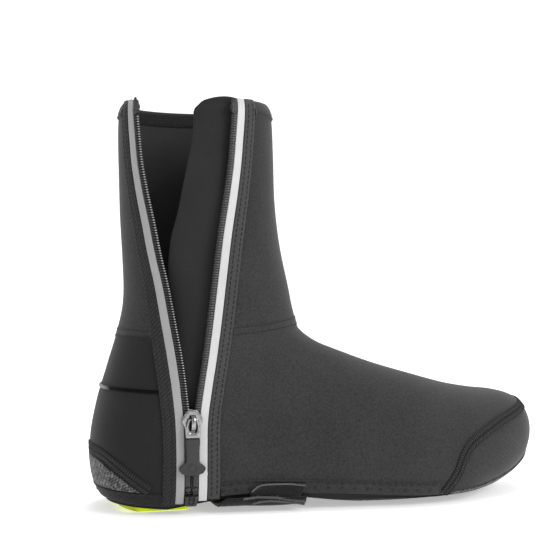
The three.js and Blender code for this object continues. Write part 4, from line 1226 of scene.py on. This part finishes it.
for side, rise in (("rear", -0.0006), ("front", -0.0014)):
    folds = []
    for d, more in ((0.0004, -0.0006), (0.0019, 0.0012)):
        foot = raised(*beside_zip(side, np.array([HEIGHT - 0.0075]), d), 0.0006)
        tip = foot + [0.0004, 0.0006, 0.0075 + rise + more]
        out = last_normal(*beside_zip(side, np.array([HEIGHT - 0.006]), d))
        folds.append(threads(foot, tip, out, 0.0026, 0.0018, sides=10, rings=10, square=0.7, full=0.3))
    piece("tape_end_" + side, together(*folds), teeth_finish)


# Box at the foot of the zip

middle = 0.5 * (zip_reach("rear", 0)(ZIP_Z) + zip_reach("front", 0)(ZIP_Z))


def mid_reach(z):
    """The reach of the closed zip's middle at a rise."""
    return np.interp(z, ZIP_Z, middle)


def mid_place(across, z, height):
    """A place a distance across from the middle of the closed zip."""
    u, a = on_side(mid_reach(z) + across, z)
    return last_point(u, a) + last_normal(u, a) * np.asarray(height)[..., None]


def plump(across, along, height, power=0.35):
    """A rounded block's three sizes spread over a ball's two angles, its corners squared by a power."""
    turn = np.linspace(0, 2 * np.pi, 24, endpoint=False)
    turn, lift = np.meshgrid(turn, np.linspace(-1.45, 1.45, 11))

    def soften(v):
        return np.sign(v) * np.abs(v) ** power

    level = soften(np.cos(lift))
    return (
        across * level * soften(np.cos(turn)), along * level * soften(np.sin(turn)),
        height * soften(np.sin(lift)),
    )


x, z, h = plump(0.0037, 0.0030, 0.0020)
box = carried(mid_place(x, (GARAGE_FOOT + GARAGE_TOP) / 2 + z, 0.0003 + h))
x, z, h = plump(0.0040, 0.0008, 0.0023)
lip = carried(mid_place(x, GARAGE_TOP - 0.0008 + z, 0.0003 + h))
piece("zip_garage", together(box, lip), teeth_finish, replaces=["zip_box"])


# Storm flap: one sheet behind the open zip, its free corner rounded, its top falling most to the front

FLAP_TOP = HEIGHT + 0.0040
FLAP_ROUND = 0.014
flap_z = np.linspace(0.0205, FLAP_TOP - 0.0002, 170)
flap_across = np.linspace(0, 1, 34)
edge = smooth_line(FLAP_EDGE[:, ::-1], 300)
flap_low = np.interp(flap_z, edge[:, 1], edge[:, 0])
over = np.clip(flap_z - (FLAP_TOP - FLAP_ROUND), 0, FLAP_ROUND)
corner_x = LENGTH * (FLAP_EDGE[-1, 1] - 0.5) + FLAP_ROUND - np.sqrt(FLAP_ROUND**2 - over**2)
flap_low = np.where(over > 0, np.maximum(flap_low, corner_x), flap_low)
flap_high = zip_reach("front", CLOTH_EDGE + 0.006)(np.minimum(flap_z, HEIGHT - 0.0005))
flap_x = flap_low[:, None] + (flap_high - flap_low)[:, None] * flap_across
flap_rise = np.broadcast_to(flap_z[:, None], flap_x.shape)
near_top = np.clip((flap_rise - HEIGHT + 0.012) / 0.016, 0, 1)
flap_rise = flap_rise - 0.0032 * near_top * np.abs(1.6 * flap_across - 0.6) ** 2
u, a = on_side(flap_x, np.minimum(flap_rise, HEIGHT - 0.0005))
base, out = last_point(u, a), last_normal(u, a)
base[..., 2] = flap_rise
sag = 0.0007 * np.sin(flap_rise * 38 + 0.6) * (1 - flap_across)
sag += 0.0004 * np.sin(flap_rise * 90 + flap_across * 5)
depth = -0.0041 - 0.0007 + sag - 0.0012 * (1 - flap_across) ** 2
outer, inner = (base + out * (depth + k * 0.00055)[..., None] for k in (1, -1))
flap_shape = walled(outer.reshape(-1, 3), inner.reshape(-1, 3), cell_triangles(*flap_x.shape), 0.0003)
flap = piece("storm_flap_sheet", flap_shape, flap_lining, replaces=["storm_flap"])
mid = base + out * depth[..., None]
cells = np.cross(mid[1:, :-1] - mid[:-1, :-1], mid[:-1, 1:] - mid[:-1, :-1])


# Sole: top and underside over the plan, open at the cleat, with a diamond tread cut into the forefoot


def rounded_box(x, y, low, high, half, radius):
    """Distance outside a rounded rectangle about the middle line."""
    dx = np.abs(x - (low + high) / 2) - (high - low) / 2 + radius
    dy = np.abs(y) - half + radius
    return np.hypot(np.maximum(dx, 0), np.maximum(dy, 0)) + np.minimum(np.maximum(dx, dy), 0) - radius


TREAD_PITCH = 0.0065
sole_u, sole_a = seat_path(0.0)
rim = last_point(sole_u, sole_a) - 0.0027 * last_normal(sole_u, sole_a)
outer_half, inner_half = rim[rim[:, 1] < 0], rim[rim[:, 1] >= 0]
ends = np.linspace(-np.pi / 2, np.pi / 2, 300)
sole_x = rim[:, 0].min() + 0.0001 + (np.ptp(rim[:, 0]) - 0.0002) * (1 + np.sin(ends)) / 2
sides = [
    np.interp(sole_x, half[np.argsort(half[:, 0]), 0], half[np.argsort(half[:, 0]), 1])
    for half in (outer_half, inner_half)
]
sole_t = np.linspace(0, 1, 100)
x = np.broadcast_to(sole_x[:, None], (300, 100))
y = sides[0][:, None] + (sides[1] - sides[0])[:, None] * sole_t
tread = np.interp(x / LENGTH + 0.5, TREAD_SHARE[:, 0], TREAD_SHARE[:, 1])
top = seat_rise(x) - GAP
edge_in = np.minimum(np.abs(y - sides[0][:, None]), np.abs(y - sides[1][:, None]))
camber = 0.0052 * np.clip(1 - edge_in / 0.024, 0, 1) ** 1.5 * (x > -0.0294)
base_low = seat_rise(x) - GAP - np.interp(x, [0.03, 0.075], [0.002, 0.0011])
lines = np.minimum(*(np.abs((way / TREAD_PITCH + 0.5) % 1 - 0.5) for way in (x + y, x - y))) * TREAD_PITCH
cut = 0.001 * np.clip(1 - (lines - 0.0003) / 0.0006, 0, 1) * np.clip((edge_in - 0.007) / 0.001, 0, 1)
low = np.maximum(base_low * (1 - tread), np.minimum(camber, base_low)) + cut * (tread > 0.5)
low = np.minimum(low, top - 0.0009)
nodes = np.stack([x, y, top, low], -1).reshape(-1, 4)
triangles = cell_triangles(300, 100)
cleat = np.minimum(
    rounded_box(nodes[:, 0], nodes[:, 1], 0.006, 0.074, 0.021, 0.009),
    rounded_box(nodes[:, 0], nodes[:, 1], -0.075, 0.040, 0.013, 0.009),
)
nodes, triangles = clipped(nodes, triangles, cleat)
sole_shape = walled(nodes[:, [0, 1, 2]], nodes[:, [0, 1, 3]], triangles, 0.0006)
piece("sole_plate", sole_shape, sole_finish, replaces=["outsole"])


# Heel pad: a low yellow block whose rear is cut away in a slope, with grooves across its foot

PAD_HALF, PAD_CORNER = 0.023, 0.007
pad_x = np.linspace(-0.1315, -0.0915, 90)
pad_t = np.linspace(-1, 1, 90)
from_back = pad_x - pad_x[0]
corner = np.sqrt(np.maximum(PAD_CORNER**2 - (PAD_CORNER - from_back) ** 2, 0))
pad_half = np.where(from_back < PAD_CORNER, PAD_HALF - PAD_CORNER + corner, PAD_HALF)
x = np.broadcast_to(pad_x[:, None], (90, 90))
y = pad_half[:, None] * pad_t
groove = np.clip(1 - np.abs((x / 0.0095 + 0.5) % 1 - 0.5) * 0.0095 / 0.0009, 0, 1) * (np.abs(y) < 0.019)
low = np.maximum(0.0032 * (1 - from_back / 0.01), 0)[:, None] + 0.0007 * groove
top = seat_rise(x) - 0.002 - 2 * GAP
places = [np.stack([x, y, level], -1).reshape(-1, 3) for level in (top, low)]
pad_shape = walled(places[0], places[1], cell_triangles(90, 90), 0.0003)
piece("heel_block", pad_shape, yellow, replaces=["heel_pad"])


# Strap: a loop ply under the arch and a hook tab over it on the outer side

STRAP_BACK, STRAP_FRONT = -0.077, -0.024


def side_place(x, z, height, medial=False):
    u, a = on_side(x, z, medial)
    return last_point(u, a) + last_normal(u, a) * np.asarray(height)[..., None]


def strap_course(x):
    """The loop ply's middle line at one reach: down the outer side, across under the arch, up the inner."""
    outer_z = np.array([0.010, 0.0088, 0.0076, 0.0064])
    inner_z = np.array([0.0064, 0.009, 0.0115, 0.014, 0.017])
    outer_side = side_place(np.full(4, x), outer_z, np.full(4, 0.0034))
    inner_side = side_place(np.full(5, x), inner_z, np.full(5, 0.0019), medial=True)
    y_low, y_high = outer_side[-1, 1], inner_side[0, 1]
    share = np.array([0.03, 0.09, 0.2, 0.35, 0.5, 0.65, 0.8, 0.91, 0.97])
    drop = 0.004 + 0.0009 * np.abs(2 * share - 1) ** 6
    under = np.stack([np.full(9, x), y_low + (y_high - y_low) * share, drop], -1)
    course = np.concatenate([outer_side, under, inner_side])
    run = np.concatenate([[0], np.cumsum(np.linalg.norm(np.diff(course, axis=0), axis=1))])
    even = np.linspace(0, run[-1], 120)
    smooth = np.stack([np.interp(even, run, course[:, k]) for k in range(3)], -1)
    weights = np.hanning(13)[1:-1]
    padded = np.pad(smooth, ((5, 5), (0, 0)), "reflect", reflect_type="odd")
    return np.stack([np.convolve(padded[:, k], weights / weights.sum(), "valid") for k in range(3)], -1)


strap_x = np.linspace(STRAP_BACK, STRAP_FRONT, 60)
courses = np.stack([strap_course(x) for x in strap_x[::6]])
picks = np.linspace(0, len(courses) - 1, 60)
low_pick = np.minimum(picks.astype(int), len(courses) - 2)
share = (picks - low_pick)[:, None, None]
courses = courses[low_pick] * (1 - share) + courses[low_pick + 1] * share
courses[..., 0] = strap_x[:, None]
along = unit(np.gradient(courses, axis=1))
out = unit(np.cross(along, [1.0, 0, 0]))
out *= np.sign(-out[:, 60:61, 2:3])
curl = 0.0006 * np.sin(np.clip((strap_x + 0.06) / 0.036, 0, 1) * np.pi)[:, None]
curl = curl * (courses[..., 1] < -0.02)
faces = [courses + out * (curl + half)[..., None] for half in (0.00072, -0.00072)]
nodes = np.concatenate(faces, axis=-1).reshape(-1, 6)
triangles = cell_triangles(60, 120)
middle_z = (nodes[:, 2] + nodes[:, 5]) / 2
back = np.clip(STRAP_BACK + 0.012 - nodes[:, 0], 0, 0.012)
limit = 0.0032 + 0.0068 * np.sqrt(np.maximum(1 - (back / 0.012) ** 2, 0))
rounding = np.where(nodes[:, 1] < -0.015, limit - middle_z + 0.0002, 0.01)
nodes, triangles = clipped(nodes, triangles, rounding)
loop_shape = walled(nodes[:, :3], nodes[:, 3:], triangles, 0.0003)
piece("strap_under", loop_shape, strap_finish, replaces=["strap_loop"])

tab_x = np.linspace(-0.0575, -0.024, 70)
tab_z = np.linspace(0.0066, 0.0172, 24)
x, z = np.meshgrid(tab_x, tab_z, indexing="ij")
along_tab, up_tab = (x - tab_x[0]) / (tab_x[-1] - tab_x[0]), (z - tab_z[0]) / (tab_z[-1] - tab_z[0])
lean = 0.0035 * np.clip(0.22 - along_tab, 0, 0.22) / 0.22
x = x - 0.0055 * (1 - up_tab) * np.clip((along_tab - 0.75) / 0.25, 0, 1)
z = z - lean * up_tab - 0.0012 * up_tab * np.clip((along_tab - 0.9) / 0.1, 0, 1) ** 2
lift = 0.0019 + 0.0011 * np.clip((up_tab - 0.7) / 0.3, 0, 1) ** 2
lift = lift + 0.0003 * np.sin(along_tab * 9) * up_tab
faces = [side_place(x, z, lift + half) for half in (0.0006, -0.0006)]
nodes = np.concatenate(faces, axis=-1).reshape(-1, 6)
triangles = cell_triangles(*x.shape)
hook_shape = walled(nodes[:, :3], nodes[:, 3:], triangles, 0.0003)
piece("strap_tab", hook_shape, strap_finish, replaces=["strap_hook"])


# Pale rims of the strap, reach and rise: the tab's cut edge, then the two plies' edges with pile on them

TAB_RIM = np.array([
    [-0.0572, 0.0134], [-0.0545, 0.0155], [-0.0515, 0.0168],
    [-0.046, 0.0171], [-0.034, 0.0171], [-0.0245, 0.0160],
])
PLY_RIMS = np.array([
    [
        [-0.062, 0.0099], [-0.055, 0.0107], [-0.047, 0.0106],
        [-0.04, 0.0101], [-0.033, 0.0089], [-0.0245, 0.0078],
    ],
    [
        [-0.0565, 0.0076], [-0.0525, 0.0086], [-0.046, 0.0090],
        [-0.039, 0.0086], [-0.031, 0.0077], [-0.0244, 0.0068],
    ],
])
TOWARD_SIDE = np.array([0, -1.0, 0])


def rim_course(line, height):
    """Places at even reaches on the outer side, their rises averaged over eleven neighbours."""
    x = np.linspace(line[0, 0], line[-1, 0], 90)
    z = np.pad(np.interp(x, line[:, 0], line[:, 1]), 5, "reflect", reflect_type="odd")
    return side_place(x, np.convolve(z, np.ones(11) / 11, "valid"), np.full(90, height))


rng = np.random.default_rng(7)
fuzz = [bent_tube(rim_course(TAB_RIM, 0.0034), 0.0009, 0.0012, TOWARD_SIDE)]
for line, height in zip(PLY_RIMS, (0.0040, 0.0045)):
    course = rim_course(line, height)
    fuzz.append(bent_tube(course, 0.0012, 0.0010, TOWARD_SIDE))
    roots = course[rng.integers(0, 90, 260)] + rng.normal(0, 0.0003, (260, 3))
    tips = roots + rng.normal(0, 0.0005, roots.shape) + [0, -0.0004, 0.0002]
    fuzz.append(threads(roots, tips, unit(tips - roots)[:, [1, 2, 0]], 0.0003, 0.0003, 4, 3))
piece("strap_pile_edge", together(*fuzz), lint)


# Slider and pull, in directions across the zip, up it and out of the cloth


def one_side_place(z):
    u, a = on_side(mid_reach(z), z)
    return last_point(u, a), last_normal(u, a)


SLIDER_RISE = 0.0545
seat_place, seat_out = one_side_place(SLIDER_RISE)
up_zip = unit(one_side_place(SLIDER_RISE + 0.008)[0] - one_side_place(SLIDER_RISE - 0.008)[0])
outward = unit(seat_out - up_zip * (seat_out @ up_zip))
across = np.cross(up_zip, outward)


def tapered(stations, halves, lows, highs, origin, directions, power=0.45, sides=20, centre=0.0):
    """A bar along its second direction: rounded rectangles of given half widths between two levels."""
    turn = np.linspace(0, 2 * np.pi, sides, endpoint=False) + np.pi / sides
    wide = np.sign(np.cos(turn)) * np.abs(np.cos(turn)) ** power
    tall = np.sign(np.sin(turn)) * np.abs(np.sin(turn)) ** power
    count = len(stations)
    stations, halves, lows, highs = (
        np.broadcast_to(np.asarray(v, float), count)[:, None] for v in (stations, halves, lows, highs))
    first, second, third = directions
    loops = (
        origin + (centre + halves * wide)[..., None] * first + (stations + 0 * wide)[..., None] * second
        + ((lows + highs) / 2 + (highs - lows) / 2 * tall)[..., None] * third
    )
    return carried(loops)


def with_round_ends(stations, halves, low, high, ease):
    """Stations with each end drawn in over a short length, so that a bar's ends are rounded."""
    share = np.array([0.0, 0.3, 0.65, 1.0])
    shrink = np.sqrt(1 - (1 - share) ** 2) * 0.96 + 0.04
    inner = np.linspace(stations[0] + ease, stations[-1] - ease, 26)[1:-1]
    found = np.concatenate([stations[0] + ease * share, inner, (stations[-1] - ease * share)[::-1]])
    scale = np.concatenate([shrink, np.ones(len(inner)), shrink[::-1]])
    half = np.interp(found, stations, halves)
    half = half - (1 - scale) * ease
    middle, thick = (low + high) / 2, (high - low) / 2
    return found, half, middle - thick * (0.4 + 0.6 * scale), middle + thick * (0.4 + 0.6 * scale)


def ring(outer, inner, low, high, ease, origin, directions):
    """A flat ring between two outlines with the same number of corners, its four edges eased."""
    outer_eased = outer - ease * unit(outer - outer.mean(0))
    inner_eased = inner + ease * unit(inner - inner.mean(0))
    thick = [
        (outer, low + ease), (outer, high - ease), (outer_eased, high), (inner_eased, high),
        (inner, high - ease), (inner, low + ease), (inner_eased, low), (outer_eased, low),
    ]
    first, second, third = directions
    loops = np.stack([
        origin + line[:, :1] * first + line[:, 1:] * second + level * third for line, level in thick
    ])
    return Shape(loops, grid_faces(8, len(outer), wrap_rows=True, wrap_cols=True))


def outline(corners, count=72, soften=0.12):
    """A closed outline through corners, at even steps, each corner eased by averaging its neighbours."""
    line = np.vstack([corners, corners[:1]]).astype(float)
    run = np.concatenate([[0], np.cumsum(np.linalg.norm(np.diff(line, axis=0), axis=1))])
    even = np.linspace(0, run[-1], count, endpoint=False)
    found = np.stack([np.interp(even, run, line[:, k]) for k in (0, 1)], -1)
    for _ in range(int(soften * 20)):
        found = (np.roll(found, 1, 0) + 2 * found + np.roll(found, -1, 0)) / 4
    return found


axes = (across, up_zip, outward)
body_t = np.array([-7.5, -6.2, -2.5, 0.0, 1.6, 3.6, 5.6, 6.8, 7.5]) * MM
body_w = np.array([4.2, 4.3, 4.6, 5.9, 6.25, 5.6, 4.4, 3.4, 2.6]) * MM
front_plate = tapered(*with_round_ends(body_t, body_w, 0.0012, 0.0026, 0.0005), seat_place, axes)
back_plate = tapered(*with_round_ends(body_t, body_w, -0.0035, -0.0022, 0.0005), seat_place, axes)
core_t, core_w = np.array([-5.0, 0.0, 4.6]) * MM, np.array([2.4, 2.6, 2.0]) * MM
raised_core = tapered(*with_round_ends(core_t, core_w, 0.0020, 0.0028, 0.0003), seat_place, axes)
flange_t, flange_w = np.array([-7.2, -1.5]) * MM, np.array([0.5, 0.5]) * MM
flange_bar = with_round_ends(flange_t, flange_w, 0.0002, 0.0020, 0.0003)
flanges = [tapered(*flange_bar, seat_place, axes, centre=side * 0.0038) for side in (-1, 1)]
neck_t, neck_w = np.array([4.0, 7.0]) * MM, np.array([0.9, 0.8]) * MM
neck = tapered(*with_round_ends(neck_t, neck_w, -0.0030, 0.0020, 0.0003), seat_place, axes)
arch = np.linspace(0, np.pi, 19)
bridge_path = (
    seat_place + (-np.cos(arch) * 0.0042)[:, None] * up_zip
    + (0.0024 + 0.0037 * np.sin(arch) ** 0.55)[:, None] * outward
)
bridge = bent_tube(bridge_path, 0.0026, 0.0011, outward + 1e-4 * up_zip)
slider = together(front_plate, back_plate, *flanges, neck, bridge)
piece("slider_casting", slider, metal, replaces=["zip_slider"])
piece("slider_core", raised_core, dark_metal)

pivot = seat_place + 0.002 * up_zip + 0.00395 * outward
LINK_LENGTH, TAB_LENGTH = 0.0108, 0.0215
tab_end, tab_out = one_side_place(SLIDER_RISE - LINK_LENGTH - TAB_LENGTH)
pull_up = unit(pivot - (tab_end + 0.003 * tab_out))
pull_out = unit(np.cross(across, pull_up))
pull_across = np.cross(pull_up, pull_out)
pull_axes = (pull_across, pull_up, pull_out)
link_outer = outline(np.array([
    [-2.6, 0.75], [2.6, 0.75], [3.3, -0.6], [4.3, -4.6], [4.45, -5.6],
    [4.4, -10.75], [-4.4, -10.75], [-4.45, -5.6], [-4.3, -4.6], [-3.3, -0.6],
]) * MM, soften=0.1)
link_inner = outline(np.array([
    [-1.55, -0.62], [1.55, -0.62], [2.1, -1.2], [2.85, -4.3], [2.3, -7.0],
    [1.6, -7.6], [-1.6, -7.6], [-2.3, -7.0], [-2.85, -4.3], [-2.1, -1.2],
]) * MM, soften=0.1)
link = ring(link_outer, link_inner, -0.0006, 0.0006, 0.0002, pivot, pull_axes)
bar_t, bar_w = np.array([-10.7, -9.0]) * MM, np.array([4.3, 4.3]) * MM
foot_bar = tapered(*with_round_ends(bar_t, bar_w, -0.0008, 0.0009, 0.0004), pivot, pull_axes)
piece("pull_clasp", together(link, foot_bar), metal,
      body="zip_pull", replaces=["pull_link"])

foot = -LINK_LENGTH - GAP - TAB_LENGTH
top = -LINK_LENGTH - GAP
from_foot = np.array([0.0, 0.5, 1.1, 2.5, 3.8, 5.2, 6.3, 7.2, 8.5, 12.0]) * MM
tab_t = np.concatenate([foot + from_foot, [top - 0.006, top]])
tab_w = np.array([2.4, 4.6, 6.3, 7.4, 8.0, 7.5, 6.1, 4.6, 3.8, 3.55, 4.1, 4.2]) * MM
ribbon = tapered(*with_round_ends(tab_t, tab_w, -0.0017, 0.0008, 0.0004), pivot, pull_axes, power=0.4)
step_t, step_w = np.array([top - 0.0042, top - 0.0001]), np.array([4.25, 4.25]) * MM
collar_step = tapered(*with_round_ends(step_t, step_w, -0.0018, 0.0011, 0.0004), pivot, pull_axes)
turn = np.linspace(0, 2 * np.pi, 40, endpoint=False)
disc = np.stack([np.cos(turn), np.sin(turn)], -1)
boss_at = pivot + (foot + 0.0040) * pull_up
boss = ring(disc * 0.0029, disc * 0.0021, 0.0004, 0.0011, 0.00015, boss_at, pull_axes)
piece("pull_ribbon", together(ribbon, collar_step, boss), rubber,
      body="zip_pull", replaces=["pull_tab"])


# Floor, lights and camera

floor_finish = bpy.data.materials.new("studio_floor")
floor_finish.use_nodes = True
floor_shader = floor_finish.node_tree.nodes["Principled BSDF"]
floor_shader.inputs["Base Color"].default_value = (0.92, 0.92, 0.92, 1)
floor_shader.inputs["Roughness"].default_value = 1.0
floor_shader.inputs["Specular IOR Level"].default_value = 0.0
floor_shader.inputs["Emission Color"].default_value = (1, 1, 1, 1)
floor_shader.inputs["Emission Strength"].default_value = 0.42
sweep_t = np.linspace(0, np.pi / 2, 24)
sweep_y = np.concatenate([[-12.0, 1.2], 1.2 + 1.2 * np.sin(sweep_t), [2.4]])
sweep_z = np.concatenate([[0, 0], 1.2 - 1.2 * np.cos(sweep_t), [4.0]]) - 0.0002
sweep_x = np.linspace(-14, 14, 3)
sweep = np.stack(np.broadcast_arrays(sweep_x[None], sweep_y[:, None], sweep_z[:, None]), -1)
floor_mesh = bpy.data.meshes.new("studio_floor")
floor_mesh.from_pydata(sweep.reshape(-1, 3).tolist(), [], grid_faces(len(sweep_y), 3)[:, ::-1].tolist())
floor_mesh.polygons.foreach_set("use_smooth", np.ones(len(floor_mesh.polygons), bool))
floor_mesh.materials.append(floor_finish)
floor = bpy.data.objects.new("studio_floor", floor_mesh)
bpy.context.scene.collection.objects.link(floor)

world = bpy.data.worlds.new("studio")
world.use_nodes = True
world.node_tree.nodes["Background"].inputs["Color"].default_value = (1, 1, 1, 1)
world.node_tree.nodes["Background"].inputs["Strength"].default_value = 0.5
bpy.context.scene.world = world


def soft_light(name, place, target, size, power):
    lamp = bpy.data.lights.new(name, "AREA")
    lamp.shape, lamp.size, lamp.energy = "SQUARE", size, power
    obj = bpy.data.objects.new(name, lamp)
    obj.location = place
    obj.rotation_mode = "QUATERNION"
    obj.rotation_quaternion = (Vector(target) - Vector(place)).to_track_quat("-Z", "Y")
    bpy.context.scene.collection.objects.link(obj)


soft_light("key", (1.0, -1.1, 0.9), (0, 0, 0.1), 0.7, 13)
soft_light("fill", (-1.2, -1.0, 0.7), (0, 0, 0.1), 0.9, 3)
soft_light("top", (0.2, 0.3, 1.5), (0, 0, 0.1), 0.9, 11)

ahead, right = Vector((0.3090, 0.9511, 0)), Vector((0.9511, -0.3090, 0))
look = (ahead - right * (45 / 1185) - Vector((0, 0, 1)) * (7 / 1185)).normalized()
side_way = look.cross(Vector((0, 0, 1))).normalized()
lens = bpy.data.cameras.new("camera")
lens.sensor_width = 36
lens.lens = 77.56
lens.clip_start, lens.clip_end = 0.05, 30
camera = bpy.data.objects.new("camera", lens)
camera.matrix_world = Matrix((
    (*side_way[:1], side_way.cross(look)[0], -look[0], -0.2349),
    (side_way[1], side_way.cross(look)[1], -look[1], -0.7228),
    (side_way[2], side_way.cross(look)[2], -look[2], 0.1452),
    (0, 0, 0, 1),
))
bpy.context.scene.collection.objects.link(camera)
bpy.context.scene.camera = camera
bpy.context.scene.view_settings.view_transform = "Standard"
